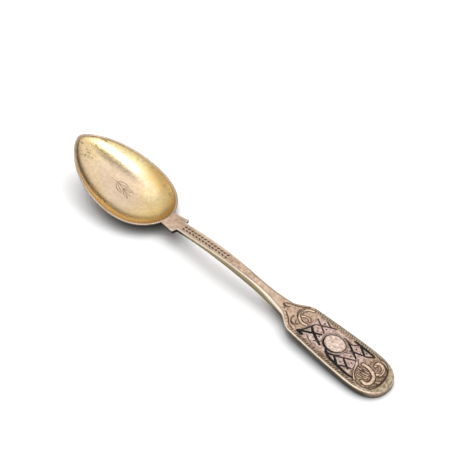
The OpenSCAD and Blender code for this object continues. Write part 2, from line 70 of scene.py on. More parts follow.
# Heel, fins and stem
HEEL_L = 5.6
HEEL_T = 0.45
SOLDER_T = 0.16
FIN_L = 5.7
FIN_ROOT_W = 5.8
FIN_W = 7.6
FIN_STEP_L = 0.5
STEM_L = 54.2
STEM_W = 4.2
WAIST_W = 3.2
NECK_W = 5.9
WAIST_BACK = 13.5
ROOT_T = 1.5
STEM_T = 3.4
CROWN_RISE = 2.6
CROWN_L = 28.2
NECK_BEVEL = 0.65
BEVEL_START_SHARE = 0.65
SMALL_BEVEL_SHARE = 0.2
HEEL_POWER = 2.2
NECK_POWER = 1.85
SWELL_POWER = 1.3
FALL_POWER = 1.2

# Wide end
END_L = 42
END_W = 15
SHOULDER_W = 12.6
SHOULDER_L = 7
ROUND_L = 12
SHOULDER_POWER = 1.45
FLANK_POWER = 1.5
ROUND_POWER = 3
BLUNT_W = 1
END_T = 2.2
END_BEVEL = 0.33
RUN_OUT_L = 6
TURN_L = 10
TURN_DROP = 1
FACE_DROP = 1.45

# Places along the spoon
SPOON_L = BOWL_L + STEM_L + END_L
RIM_LOW_X = BOWL_L - RIM_LOW_BACK
FIN_X = BOWL_L + FIN_L
STEM_X = FIN_X + FIN_STEP_L
CROWN_X = BOWL_L + CROWN_L
END_X = BOWL_L + STEM_L
WAIST_X = END_X - WAIST_BACK
FACE_X = END_X + RUN_OUT_L
SHOULDER_X = END_X + SHOULDER_L
TURN_X = SPOON_L - TURN_L
ROUND_X = SPOON_L - ROUND_L

# Inlay
NIELLO_T = 0.2
NIELLO_PROUD = 0.02
MEDALLION = (0.474, 0.05)
MEDALLION_L = 7.1
MEDALLION_W = 5.66
RING_W = 0.42
RING_SHADE = 0.4
SHADE_TURN = math.radians(250)
COLLAR_W = 0.62
SEED_L = 0.9
SEED_W = 0.66
TICK_SPAN = (0.17, 0.8)
TICK_PITCH = 0.85
TICK_L = 0.95
TICK_W = 0.34
FAR_TICK_W = 0.24
TICK_LEAN = 0.5
TICK_INSET = 0.18
LEAF_START = 1.2
LEAF_RUN = 20
LEAF_PITCH = 1.5
LEAF_L = 0.95
LEAF_SPREAD = 0.85
LEAF_W = 0.6
LEAF_END_X = STEM_X + LEAF_START + LEAF_RUN
SCROLL_W = 0.27
ARC_W = 0.46


def mix(a, b, t):
    return a + (b - a) * t


def limit(t):
    return np.clip(t, 0, 1)


def ease(t):
    return (1 - np.cos(np.pi * limit(t))) / 2


def soft_step(start, end, v):
    t = limit((v - start) / (end - start))
    return t * t * (3 - 2 * t)


def between(v, start, full, leave, end):
    """1 from full to leave, 0 before start and beyond end."""
    return soft_step(start, full, v) * (1 - soft_step(leave, end, v))


def sine(t):
    return np.sin(np.pi / 2 * limit(t))


# Shape of the bowl


def outline_half(x):
    s = (WIDEST_X - x) / WIDEST_X
    u = np.maximum(0, 1 - s * s)
    r = (u + TIP_ROUND) / (1 + TIP_ROUND)
    front = BOWL_W / 2 * np.sqrt(u * r ** (2 * FRONT_FULLNESS - 1))
    t = limit((x - WIDEST_X) / (BOWL_L - WIDEST_X))
    rear = BOWL_W / 2 * (1 - t ** REAR_POWER) ** REAR_FULLNESS
    return np.where(x <= WIDEST_X, front, rear)


def rear_rim_x(y):
    u = np.minimum(1, abs(y) / (BOWL_W / 2)) ** (1 / REAR_FULLNESS)
    return WIDEST_X + (BOWL_L - WIDEST_X) * (1 - u) ** (1 / REAR_POWER)


def rim_raw(x):
    ahead = np.maximum(0, RIM_LOW_X - x) / RIM_LOW_X
    behind = np.maximum(0, x - RIM_LOW_X) / RIM_LOW_BACK
    return TIP_RISE * ahead ** RIM_SAG_POWER + HEEL_RISE * behind ** 2


def dish(rho):
    return (1 - limit(rho) ** DISH_POWER) ** (1 / DISH_ROOT)


def under_raw(x, rho):
    return rim_raw(x) - LIP_H - (BOWL_DEPTH - LIP_H) * dish(rho)


keel_x = BOWL_L * np.arange(KEEL_STEPS + 1) / KEEL_STEPS
keel_rho = np.where(keel_x < HUB_X, (HUB_X - keel_x) / HUB_X, (keel_x - HUB_X) / (BOWL_L - HUB_X))
LIFT = -under_raw(keel_x, keel_rho).min() - WORN_DEPTH


def rim_z(x):
    return rim_raw(x) + LIFT


def back_z(x, rho):
    return np.maximum(0, LIFT + under_raw(x, rho))


def hollow_z(x, rho, wall):
    return rim_z(x) - LIP_H - (BOWL_DEPTH - LIP_H - wall) * dish(rho)


def gauge(x, y):
    """Share of the way from the bowl's hub to its rim, for any place under the bowl."""
    low = np.full(np.shape(x), NEAREST_RHO)
    high = np.full(np.shape(x), FARTHEST_RHO)
    for _ in range(HALVINGS):
        m = (low + high) / 2
        px = HUB_X + (x - HUB_X) / m
        inside = (px > 0) & (px < BOWL_L)
        inside &= abs(y) / m <= outline_half(np.clip(px, 0, BOWL_L))
        high = np.where(inside, m, high)
        low = np.where(inside, low, m)
    return high


def ring_place(angle, inset, rho):
    run = np.where(np.cos(angle) > 0, WIDEST_X, BOWL_L - WIDEST_X)
    x = WIDEST_X - run * np.cos(angle)
    y = np.sign(np.sin(angle)) * outline_half(x)
    px = x - HUB_X
    share = (1 - inset / np.hypot(px, y)) * rho
    return HUB_X + px * share, y * share


# Shape of the handle


def stretch(x, *parts):
    """Picks the value of the first stretch that ends beyond x."""
    conditions = [x < end for end, _ in parts[:-1]]
    values = [value for _, value in parts[:-1]]
    return np.select(conditions, values, parts[-1][1])


def round_half(x, inset):
    s = limit((x - ROUND_X) / (ROUND_L - inset))
    return mix(BLUNT_W, END_W - 2 * inset, np.sqrt(1 - s ** ROUND_POWER)) / 2


def half_w(x):
    heel_s = limit((BOWL_L - x) / HEEL_L)
    to_waist = limit((x - STEM_X) / (WAIST_X - STEM_X))
    to_neck = limit((x - WAIST_X) / WAIST_BACK)
    over_shoulder = sine((x - END_X) / SHOULDER_L)
    along_flank = limit((x - SHOULDER_X) / (ROUND_X - SHOULDER_X))
    return stretch(
        x,
        (BOWL_L, FIN_ROOT_W / 2 * np.sqrt(np.maximum(0.01, 1 - heel_s ** HEEL_POWER))),
        (FIN_X, mix(FIN_ROOT_W, FIN_W, (x - BOWL_L) / FIN_L) / 2),
        (STEM_X, mix(FIN_W, STEM_W, (x - FIN_X) / FIN_STEP_L) / 2),
        (WAIST_X, mix(STEM_W, WAIST_W, ease(to_waist ** 2)) / 2),
        (END_X, mix(WAIST_W, NECK_W, to_neck ** NECK_POWER) / 2),
        (SHOULDER_X, mix(NECK_W, SHOULDER_W, over_shoulder ** SHOULDER_POWER) / 2),
        (ROUND_X, mix(SHOULDER_W, END_W, 1 - (1 - along_flank) ** FLANK_POWER) / 2),
        (None, round_half(x, 0)))


def bevel(x):
    small = END_BEVEL * SMALL_BEVEL_SHARE
    start = mix(STEM_X, WAIST_X, BEVEL_START_SHARE)
    full = WAIST_X + WAIST_BACK / 2
    return stretch(
        x,
        (start, small + 0 * x),
        (full, mix(small, NECK_BEVEL, (x - start) / (full - start))),
        (END_X, NECK_BEVEL + 0 * x),
        (None, mix(NECK_BEVEL, END_BEVEL, limit(2 * (x - END_X) / SHOULDER_L))))


def top_half(x):
    return stretch(
        x,
        (ROUND_X, half_w(x) - bevel(x)),
        (SPOON_L - END_BEVEL, round_half(x, END_BEVEL)),
        (None, BLUNT_W / 2 + 0 * x))


HEEL_Z = float(rim_z(BOWL_L))
CROWN_Z = HEEL_Z + CROWN_RISE
TURN_Z = END_T - WORN_DEPTH + TURN_DROP
FACE_Z = TURN_Z + FACE_DROP
FACE_SLOPE = FACE_DROP / (TURN_X - FACE_X)


def top_z(x):
    rise = mix(HEEL_Z, CROWN_Z, sine((x - BOWL_L) / CROWN_L))
    fall = mix(CROWN_Z, FACE_Z, sine(limit((x - CROWN_X) / (FACE_X - CROWN_X)) ** FALL_POWER) ** 2)
    d = np.maximum(0, x - TURN_X)
    turned = FACE_SLOPE * d + (TURN_DROP - FACE_SLOPE * TURN_L) * (d / TURN_L) ** 2
    return stretch(
        x,
        (CROWN_X, rise),
        (FACE_X, fall),
        (TURN_X, FACE_Z - FACE_SLOPE * (x - FACE_X)),
        (None, TURN_Z - turned))


def thick(x):
    swell = ease(limit((x - STEM_X) / (WAIST_X - STEM_X)) ** SWELL_POWER)
    thin = ease((x - WAIST_X) / (FACE_X - WAIST_X))
    return np.where(x < WAIST_X, mix(ROOT_T, STEM_T, swell), mix(STEM_T, END_T, thin))


def station_x(x, y):
    bend = limit((FIN_X - x) / FIN_L * 2 - 1)
    return x - bend * (BOWL_L - rear_rim_x(y))


def seat_z(x, y):
    px = station_x(x, y)
    return back_z(px, gauge(px, y)) - SOLDER_T


def top_at(x, y):
    return np.where(x < BOWL_L, seat_z(np.minimum(x, BOWL_L), y), top_z(x))


def bottom_z(x):
    heel = np.maximum(0, np.minimum(seat_z(np.minimum(x, BOWL_L), 0 * x) - HEEL_T, HEEL_Z - ROOT_T))
    return np.where(x < BOWL_L, heel, np.maximum(0, top_z(x) - thick(x)))


# Mesh helpers

SHARP_ANGLE = math.radians(38)
WELD_GAP = 0.0005


def piece(name, bm, material, node):
    """Makes an object of a finished mesh in millimetres, hangs it on the root body and hides the CAD
    node it stands in for.
    """
    bmesh.ops.recalc_face_normals(bm, faces=bm.faces)
    shift = Matrix.Translation((-SPOON_L / 2, 0, 0))
    bmesh.ops.transform(bm, matrix=Matrix.Scale(MM, 4) @ shift, verts=bm.verts)
    mesh = bpy.data.meshes.new(name)
    bm.to_mesh(mesh)
    bm.free()
    mesh.shade_smooth()
    mesh.set_sharp_from_angle(angle=SHARP_ANGLE)
    made = bpy.data.objects.new(name, mesh)
    bpy.context.scene.collection.objects.link(made)
    made.data.materials.append(material)
    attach(made, "root")
    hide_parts(node)


def lofted(bm, rows, cols, place, layers=(), close_rows=False):
    """A tube of rows by cols faces. place gives arrays of x, y, z, then a value for each layer."""
    made = bmesh.ops.create_grid(bm, x_segments=rows, y_segments=cols, size=1)["verts"]
    i = np.array([round((v.co.x + 1) / 2 * rows) for v in made])
    j = np.array([round((v.co.y + 1) / 2 * cols) for v in made])
    x, y, z, *values = place(i, j)
    for k, v in enumerate(made):
        v.co = (x[k], y[k], z[k])
    for layer, value in zip(layers, values):
        for k, v in enumerate(made):
            v[layer] = float(value[k])
    bmesh.ops.remove_doubles(bm, verts=made, dist=WELD_GAP)
    if not close_rows:
        rims = [e for v in made if v.is_valid for e in v.link_edges if e.is_boundary]
        bmesh.ops.holes_fill(bm, edges=list(set(rims)), sides=0)


def curve_through(points, per_span=6):
    """A smooth line through chosen points."""
    p = np.asarray(points, float)
    if len(p) < 3:
        return mix(p[0], p[1], np.linspace(0, 1, per_span + 1)[:, None])
    out = []
    for k in range(len(p) - 1):
        a, b, c, d = p[max(0, k - 1)], p[k], p[k + 1], p[min(len(p) - 1, k + 2)]
        for t in np.arange(per_span) / per_span:
            out.append((2 * b + (c - a) * t + (2 * a - 5 * b + 4 * c - d) * t * t
                        + (3 * b - a - 3 * c + d) * t ** 3) / 2)
    return np.array(out + [p[-1]])


def field(share):
    """Place on the wide end for shares of its length and half width."""
    return (END_X + share[0] * END_L, share[1] * END_W / 2)


def field_curve(shares, per_span=6):
    return curve_through([field(s) for s in shares], per_span)


def nearness(x, y, line):
    """Distance from each place to a line, and the share along it."""
    best = np.full(x.shape, 1e9)
    along = np.zeros(x.shape)
    spans = len(line) - 1
    for k in range(spans):
        a, d = line[k], line[k + 1] - line[k]
        t = limit(((x - a[0]) * d[0] + (y - a[1]) * d[1]) / (d @ d))
        r = np.hypot(x - a[0] - t * d[0], y - a[1] - t * d[1])
        near = r < best
        best = np.where(near, r, best)
        along = np.where(near, (k + t) / spans, along)
    return best, along


# Ornament: places as shares of the wide end, widths of strokes in millimetres

INNER_STROKES = [
    (0.65, [(0.195, -0.552), (0.217, -0.432), (0.231, -0.29), (0.24, -0.12), (0.249, 0.035),
           (0.257, 0.196)]),
    (0.55, [(0.257, 0.196), (0.295, 0.32), (0.332, 0.449), (0.37, 0.573), (0.397, 0.658)]),
    (0.55, [(0.225, 0.49), (0.267, 0.375), (0.304, 0.277), (0.341, 0.154), (0.361, 0.08)]),
    (0.55, [(0.295, 0.66), (0.327, 0.585), (0.36, 0.528)]),
    (0.94, [(0.246, 0.016), (0.28, -0.127), (0.323, -0.249), (0.37, -0.376), (0.412, -0.467)]),
    (0.81, [(0.205, -0.558), (0.238, -0.431), (0.275, -0.301), (0.315, -0.141), (0.359, -0.008)]),
    (1.1, [(0.192, -0.558), (0.227, -0.585), (0.258, -0.586)]),
    (0.52, [(0.347, -0.503), (0.364, -0.381), (0.392, -0.302)]),
    (0.33, [(0.27, -0.446), (0.299, -0.528), (0.327, -0.607), (0.366, -0.659)])]
OUTER_STROKES = [
    (0.78, [(0.552, 0.735), (0.615, 0.74), (0.684, 0.742), (0.76, 0.725)]),
    (0.65, [(0.76, 0.725), (0.732, 0.581), (0.7, 0.45)]),
    (0.75, [(0.52, 0.545), (0.573, 0.393), (0.622, 0.254), (0.675, 0.1)]),
    (0.72, [(0.612, 0.733), (0.655, 0.601), (0.703, 0.45)]),
    (0.52, [(0.485, 0.556), (0.509, 0.545), (0.539, 0.505), (0.572, 0.533), (0.597, 0.652),
           (0.619, 0.721)]),
    (0.65, [(0.59, 0.2), (0.604, 0.266), (0.638, 0.332), (0.671, 0.406), (0.701, 0.458)]),
    (0.36, [(0.572, -0.02), (0.603, 0.119), (0.62, 0.288)]),
    (0.59, [(0.547, -0.429), (0.591, -0.273), (0.64, -0.098), (0.692, 0.054)]),
    (0.78, [(0.545, -0.442), (0.578, -0.554), (0.616, -0.693)]),
    (0.72, [(0.605, -0.235), (0.651, -0.384), (0.7, -0.53)]),
    (0.65, [(0.615, -0.687), (0.652, -0.544), (0.71, -0.39)]),
    (0.94, [(0.47, -0.53), (0.501, -0.59), (0.528, -0.637), (0.571, -0.672), (0.616, -0.695),
            (0.67, -0.722), (0.722, -0.727), (0.772, -0.69)])]
RING_MASS = [(0.455, -0.44), (0.478, -0.49), (0.509, -0.5), (0.544, -0.4), (0.573, -0.24)]
RING_MASS_W = 0.85
SEEDS = [
    (0.305, -0.003), (0.342, 0.322), (0.35, -0.161), (0.297, 0.495), (0.611, -0.476),
    (0.63, 0.035), (0.617, 0.474), (0.691, 0.615), (0.674, -0.182)]
STEM_SCROLL = [
    [(-0.021, 0.147), (-0.044, 0.027), (-0.024, -0.053), (0, -0.147)],
    [(0.01, 0.24), (0.038, 0.307), (0.071, 0.427), (0.105, 0.62)],
    [(0.014, -0.213), (0.062, -0.333), (0.086, -0.44), (0.119, -0.6)],
    [(0.119, 0.44), (0.11, 0.28), (0.117, 0.107), (0.143, -0.013), (0.176, -0.067), (0.21, -0.08)],
    [(0.11, 0.613), (0.088, 0.4), (0.083, 0.213), (0.098, 0.027), (0.121, -0.107),
     (0.157, -0.193), (0.19, -0.213)],
    [(0.086, -0.067), (0.093, -0.307), (0.112, -0.453), (0.136, -0.507), (0.157, -0.453),
     (0.171, -0.333), (0.167, -0.253)],
    [(0.129, -0.187), (0.136, -0.293), (0.148, -0.373)],
    [(0.143, 0.08), (0.167, 0.147), (0.202, 0.133)]]
END_SCROLL = [
    [(0.79, 0.48), (0.798, 0.653), (0.833, 0.72), (0.881, 0.653), (0.914, 0.48), (0.933, 0.213),
     (0.938, -0.027), (0.931, -0.293), (0.912, -0.52), (0.881, -0.653)],
    [(0.74, 0.853), (0.775, 0.827), (0.807, 0.773)],
    [(0.869, 0.56), (0.883, 0.4), (0.886, 0.213), (0.879, 0.107)],
    [(0.843, 0.173), (0.874, 0.067), (0.895, -0.08), (0.904, -0.267), (0.895, -0.48),
     (0.871, -0.6), (0.843, -0.6), (0.826, -0.53)],
    [(0.745, 0.067), (0.786, 0.08), (0.824, 0.027), (0.848, -0.093), (0.864, -0.24),
     (0.864, -0.387), (0.85, -0.46), (0.833, -0.46)],
    [(0.8, 0.4), (0.814, 0.473), (0.833, 0.453), (0.845, 0.36), (0.852, 0.267)],
    [(0.702, -0.133), (0.721, -0.32), (0.745, -0.533), (0.779, -0.72), (0.795, -0.8)],
    [(0.721, -0.093), (0.74, -0.32), (0.767, -0.547), (0.81, -0.747)],
    [(0.762, -0.12), (0.81, -0.1)],
    [(0.768, -0.25), (0.826, -0.24)],
    [(0.774, -0.38), (0.822, -0.38)]]

# Raised straps of the scrolls: the middle line and the width of each
STRAPS = [
    ([(0.742, 0.122), (0.787, 0.147), (0.832, 0.101), (0.865, -0.017), (0.885, -0.22),
      (0.883, -0.437), (0.855, -0.532), (0.833, -0.531)], 1.0),
    ([(0.811, 0.426), (0.811, 0.614), (0.846, 0.622), (0.878, 0.479), (0.888, 0.253),
      (0.868, 0.147)], 0.9),
    ([(0.682, 0.089), (0.712, -0.104), (0.729, -0.375), (0.752, -0.561), (0.788, -0.668)], 0.65),
    ([(0.732, -0.147), (0.779, -0.104), (0.819, -0.02)], 0.3),
    ([(0.755, -0.253), (0.796, -0.206), (0.833, -0.138)], 0.3),
    ([(0.773, -0.429), (0.814, -0.382), (0.845, -0.308)], 0.3),
    ([(0.162, 0.637), (0.128, 0.538), (0.109, 0.315), (0.116, 0.076), (0.143, -0.091),
      (0.177, -0.154), (0.214, -0.096)], 0.72),
    ([(0.131, 0.098), (0.158, 0.18), (0.187, 0.209), (0.208, 0.125)], 0.5)]
ENGRAVED = [
    [(-0.037, 0.052), (-0.009, -0.045)],
    [(-0.037, -0.032), (0.003, 0.035), (0.01, 0.096)],
    [(-0.032, 0.14), (0.022, 0.289), (0.081, 0.479), (0.121, 0.675)],
    [(0.02, -0.2), (0.076, -0.382), (0.115, -0.584), (0.166, -0.668)],
    [(0.091, -0.137), (0.091, -0.291), (0.111, -0.417), (0.141, -0.448), (0.157, -0.32)],
    [(0.8, 0.84), (0.849, 0.84), (0.902, 0.631), (0.934, 0.266), (0.944, -0.158),
     (0.926, -0.538), (0.87, -0.721), (0.815, -0.745)],
    [(0.891, 0.068), (0.916, 0.312)],
    [(0.906, -0.085), (0.932, 0.085)],
    [(0.911, -0.252), (0.934, -0.128)]]
GREEN_LOZENGES = [(0.675, 0.63), (0.58, -0.45), (0.24, -0.28), (0.62, -0.6)]
OUTLINE_W = 0.34
STRAP_H = 0.07
LINE_DEPTH = 0.04

# Ovals on the wide end: middle, half length and half width, as shares
END_OVAL = (0.83, 0, 0.125, 0.82)
START_OVAL = (0.13, 0.02, 0.12, 0.66)
MEDALLION_OVAL = (*MEDALLION, MEDALLION_L / END_L / 2, MEDALLION_W / END_W)


def oval_reach(s, w, oval):
    """Distance of places from an oval's middle, which is 1 on the oval itself."""
    middle_s, middle_w, half_s, half_across = oval
    return np.hypot((s - middle_s) / half_s, (w - middle_w) / half_across)


def relief(x, y):
    """Height of the carving on the face, and masks: ground, lines, polish, green and field."""
    s = (x - END_X) / END_L
    w = y / (END_W / 2)
    height = np.zeros(x.shape)
    ground = 0.8 * (1 - soft_step(0.85, 1.02, oval_reach(s, w, END_OVAL)))
    ground = np.maximum(ground, 0.3 * (1 - soft_step(0.8, 1.1, oval_reach(s, w, START_OVAL))))
    border = between(abs(w), 0.6, 0.7, 0.92, 0.97) * between(s, 0.15, 0.22, 0.8, 0.88)
    ground = np.maximum(ground, border * mix(0.85, 0.6, soft_step(-0.3, 0.3, w)))
    medallion = oval_reach(s, w, MEDALLION_OVAL)
    polish = 1 - soft_step(0.82, 1.0, medallion)
    rim_d = (medallion - 1) * MEDALLION_W / 2
    collar = between(rim_d, 0, 0.1, COLLAR_W, COLLAR_W + 0.15)
    ground = np.maximum(ground, 0.5 * collar)
    lines = 0.7 * np.exp(-((rim_d - COLLAR_W - 0.1) / 0.1) ** 2)
    for line, width in STRAPS:
        d, _ = nearness(x, y, field_curve(line))
        half = width / 2
        strap = 1 - soft_step(half - 0.12, half + 0.05, d)
        beside = between(d, half - 0.08, half + 0.08, half + OUTLINE_W * 0.7, half + OUTLINE_W)
        height = np.maximum(height, STRAP_H * strap)
        lines = np.maximum(lines * (1 - strap), beside)
        ground = ground * (1 - strap)
        polish = np.maximum(polish, 0.9 * strap)
    for line in ENGRAVED:
        d, _ = nearness(x, y, field_curve(line))
        lines = np.maximum(lines, 1 - soft_step(0.1, 0.3, d))
    green = 0.8 * collar
    for share in GREEN_LOZENGES:
        gx, gy = field(share)
        green = np.maximum(green, np.exp(-((x - gx) / 1.3) ** 2 - ((y - gy) / 0.9) ** 2))
    middle_field = between(s, 0.2, 0.26, 0.7, 0.76) * (1 - soft_step(0.6, 0.7, abs(w)))
    return height - LINE_DEPTH * lines, ground, lines, polish, green, middle_field


# Materials

HANDLING_TURNS = (0.25, 1.2, 2.3)
SCRATCH_STRETCH = (350, 6500, 3000)
FILE_MARKS = (4200, 700, 700)
BUMP_DEPTH = 0.00002


def add(tree, kind, inputs=None, **settings):
    """A node with its settings, and with each input linked to a socket or set to a value."""
    made = tree.nodes.new(kind)
    for name, value in settings.items():
        setattr(made, name, value)
    for name, value in (inputs or {}).items():
        if isinstance(value, bpy.types.NodeSocket):
            tree.links.new(value, made.inputs[name])
        else:
            made.inputs[name].default_value = value
    return made


def math_node(tree, operation, a, b=0.0, clamp=False):
    made = add(tree, "ShaderNodeMath", {0: a, 1: b}, operation=operation, use_clamp=clamp)
    return made.outputs[0]


def product(tree, a, b):
    return math_node(tree, "MULTIPLY", a, b)


def blended(tree, factor, a, b):
    a, b = [v if isinstance(v, bpy.types.NodeSocket) else (*v, 1) for v in (a, b)]
    made = add(tree, "ShaderNodeMix", {0: factor, 6: a, 7: b}, data_type="RGBA", clamp_factor=True)
    return made.outputs[2]


def remapped(tree, value, low, high, to_low=0.0, to_high=1.0):
    made = add(tree, "ShaderNodeMapRange", {0: value, 1: low, 2: high, 3: to_low, 4: to_high})
    return made.outputs[0]


def noise(tree, vector, scale, detail=3.0, roughness=0.55):
    made = add(tree, "ShaderNodeTexNoise",
               {"Vector": vector, "Scale": scale, "Detail": detail, "Roughness": roughness})
    return made.outputs["Fac"]


def stretched(tree, vector, scales):
    made = add(tree, "ShaderNodeVectorMath", {0: vector, 1: scales}, operation="MULTIPLY")
    return made.outputs[0]


def attribute(tree, name):
    return add(tree, "ShaderNodeAttribute", attribute_name=name).outputs["Fac"]


def tinted(tree, colour, mask_name, tint, strength=1.0):
    """Lays a tint over a colour where the mesh's mask of that name says so."""
    mask = attribute(tree, mask_name)
    if strength < 1:
        mask = product(tree, mask, strength)
    return blended(tree, mask, colour, tint)


def effect(name, inputs, outputs):
    group = bpy.data.node_groups.new(name, "ShaderNodeTree")
    for label, kind, value in inputs:
        socket = group.interface.new_socket(label, in_out="INPUT", socket_type=kind)
        if value is not None:
            socket.default_value = value
    for label, kind in outputs:
        group.interface.new_socket(label, in_out="OUTPUT", socket_type=kind)
    return group, group.nodes.new("NodeGroupInput").outputs, group.nodes.new("NodeGroupOutput").inputs


def make_handling():
    """Hairline scratches and a slow waviness left by rubbing, as a height and a mask."""
    group, given, out = effect("handling marks", [("Vector", "NodeSocketVector", None)],
                               [("Height", "NodeSocketFloat"), ("Mask", "NodeSocketFloat")])
    fine = None
    for turn in HANDLING_TURNS:
        turned = add(group, "ShaderNodeMapping",
                     {"Vector": given["Vector"], "Rotation": (0, 0, turn)})
        lines = noise(group, stretched(group, turned.outputs[0], SCRATCH_STRETCH), 1.0, 2.0, 0.6)
        sharp = remapped(group, lines, 0.6, 0.72)
        fine = sharp if fine is None else math_node(group, "MAXIMUM", fine, sharp)
    slow = noise(group, given["Vector"], 260, 2.0)
    height = math_node(group, "SUBTRACT", slow, product(group, fine, 0.25))
    group.links.new(height, out["Height"])
    group.links.new(fine, out["Mask"])
    return group


def make_tarnish():
    """Cloudy patches of tarnish at two sizes."""
    group, given, out = effect(
        "tarnish",
        [("Vector", "NodeSocketVector", None), ("Scale", "NodeSocketFloat", 120.0),
         ("Low", "NodeSocketFloat", 0.45), ("High", "NodeSocketFloat", 0.7)],
        [("Mask", "NodeSocketFloat")])
    big = noise(group, given["Vector"], given["Scale"], 4.0, 0.6)
    small = noise(group, given["Vector"], product(group, given["Scale"], 6.0), 2.0)
    both = math_node(group, "ADD", product(group, big, 0.72), product(group, small, 0.28))
    group.links.new(remapped(group, both, given["Low"], given["High"]), out["Mask"])
    return group


HANDLING = make_handling()
TARNISH = make_tarnish()


def handling(tree, place):
    """Height and mask of the handling marks."""
    marks = add(tree, "ShaderNodeGroup", {"Vector": place}, node_tree=HANDLING).outputs
    return marks["Height"], marks["Mask"]


def tarnish(tree, place, scale, low, high):
    """Mask of the tarnish, at a scale and between two levels of its noise."""
    inputs = {"Vector": place, "Scale": scale, "Low": low, "High": high}
    return add(tree, "ShaderNodeGroup", inputs, node_tree=TARNISH).outputs["Mask"]


def start_material(name, metallic=1.0):
    made = bpy.data.materials.new(name)
    made.use_nodes = True
    tree = made.node_tree
    tree.nodes.clear()
    shader = add(tree, "ShaderNodeBsdfPrincipled", {"Metallic": metallic})
    out = tree.nodes.new("ShaderNodeOutputMaterial")
    tree.links.new(shader.outputs[0], out.inputs["Surface"])
    place = add(tree, "ShaderNodeTexCoord").outputs["Object"]
    return made, tree, shader, place


def finish_surface(tree, shader, colour, rough, height, depth=BUMP_DEPTH):
    tree.links.new(colour, shader.inputs["Base Color"])
    tree.links.new(rough, shader.inputs["Roughness"])
    bump = add(tree, "ShaderNodeBump", {"Height": height, "Distance": depth, "Strength": 1.0})
    tree.links.new(bump.outputs[0], shader.inputs["Normal"])


def make_silver():
    made, tree, shader, place = start_material("worn silver")
    height, _ = handling(tree, place)
    dull = tarnish(tree, place, 150, 0.4, 0.66)
    colour = blended(tree, dull, (0.64, 0.51, 0.40), (0.46, 0.35, 0.26))
    # Painted shade: the bowl's outer back, up to the lip, is painted dark brown, with tarnish patches
    # through it.
    back = blended(tree, dull, (0.34, 0.25, 0.18), (0.16, 0.105, 0.065))
    colour = tinted(tree, colour, "back", back)
    under = blended(tree, dull, (0.74, 0.62, 0.50), (0.46, 0.36, 0.27))
    colour = tinted(tree, colour, "under", under)
    finish_surface(tree, shader, colour, remapped(tree, dull, 0, 1, 0.22, 0.36), height)
    return made


def make_lining():
    made, tree, shader, place = start_material("fire gilding")
    height, scratches = handling(tree, place)
    dull = tarnish(tree, place, 110, 0.42, 0.64)
    gold = blended(tree, dull, (0.92, 0.68, 0.30), (0.86, 0.58, 0.22))
    # Lighter gold over the far half toward the tip and in a patch on the far side by the heel: partly
    # the gilding's own tone, partly a painted sheen.
    gold = tinted(tree, gold, "pale", (0.95, 0.78, 0.44))
    rosy = blended(tree, dull, (0.84, 0.65, 0.49), (0.76, 0.57, 0.40))
    colour = tinted(tree, gold, "floor", rosy)
    clouds = tarnish(tree, place, 900, 0.42, 0.62)
    colour = blended(tree, product(tree, clouds, 0.45), colour, (0.55, 0.42, 0.22))
    # Painted shade: the wall at the heel end of the bowl is darkened to a deep brown gold.
    colour = tinted(tree, colour, "heel", (0.46, 0.27, 0.07))
    # Painted shade: a darker amber band on the far wall near the rim, from the middle toward the
    # heel.
    colour = tinted(tree, colour, "amber", (0.72, 0.48, 0.18))
    colour = blended(tree, product(tree, scratches, 0.25), colour, (0.98, 0.88, 0.66))
    pits = tarnish(tree, place, 420, 0.55, 0.62)
    pitted = product(tree, pits, attribute(tree, "pitted"))
    colour = blended(tree, pitted, colour, (0.25, 0.19, 0.09))
    colour = tinted(tree, colour, "cut", (0.30, 0.20, 0.13), 0.9)
    height = math_node(tree, "SUBTRACT", height, product(tree, attribute(tree, "cut"), 2.0))
    finish_surface(tree, shader, colour, remapped(tree, dull, 0, 1, 0.15, 0.25), height)
    return made


def worn_face(tree, place, dull, grain):
    """Colour of the handle's upper face, before its rim and straps."""
    face = blended(tree, dull, (0.88, 0.64, 0.48), (0.58, 0.41, 0.29))
    face = tinted(tree, face, "field", (0.70, 0.51, 0.45))
    spots = remapped(tree, noise(tree, place, 1500, 2.0), 0.55, 0.62, 0.0, 0.7)
    face = blended(tree, product(tree, spots, attribute(tree, "field")), face, (1.0, 0.86, 0.78))
    worked = remapped(tree, attribute(tree, "worked"), 0, 1, 0.35, 0.85)
    face = blended(tree, product(tree, grain, worked), face, (0.30, 0.19, 0.13))
    face = tinted(tree, face, "grime", (0.40, 0.34, 0.24), 0.65)
    across_stem = noise(tree, stretched(tree, place, FILE_MARKS), 1.0, 2.0)
    filed = remapped(tree, across_stem, 0.48, 0.62, 0.0, 0.7)
    face = blended(tree, product(tree, filed, attribute(tree, "filed")), face, (0.30, 0.22, 0.14))
    return tinted(tree, face, "glint", (1.0, 0.93, 0.82))


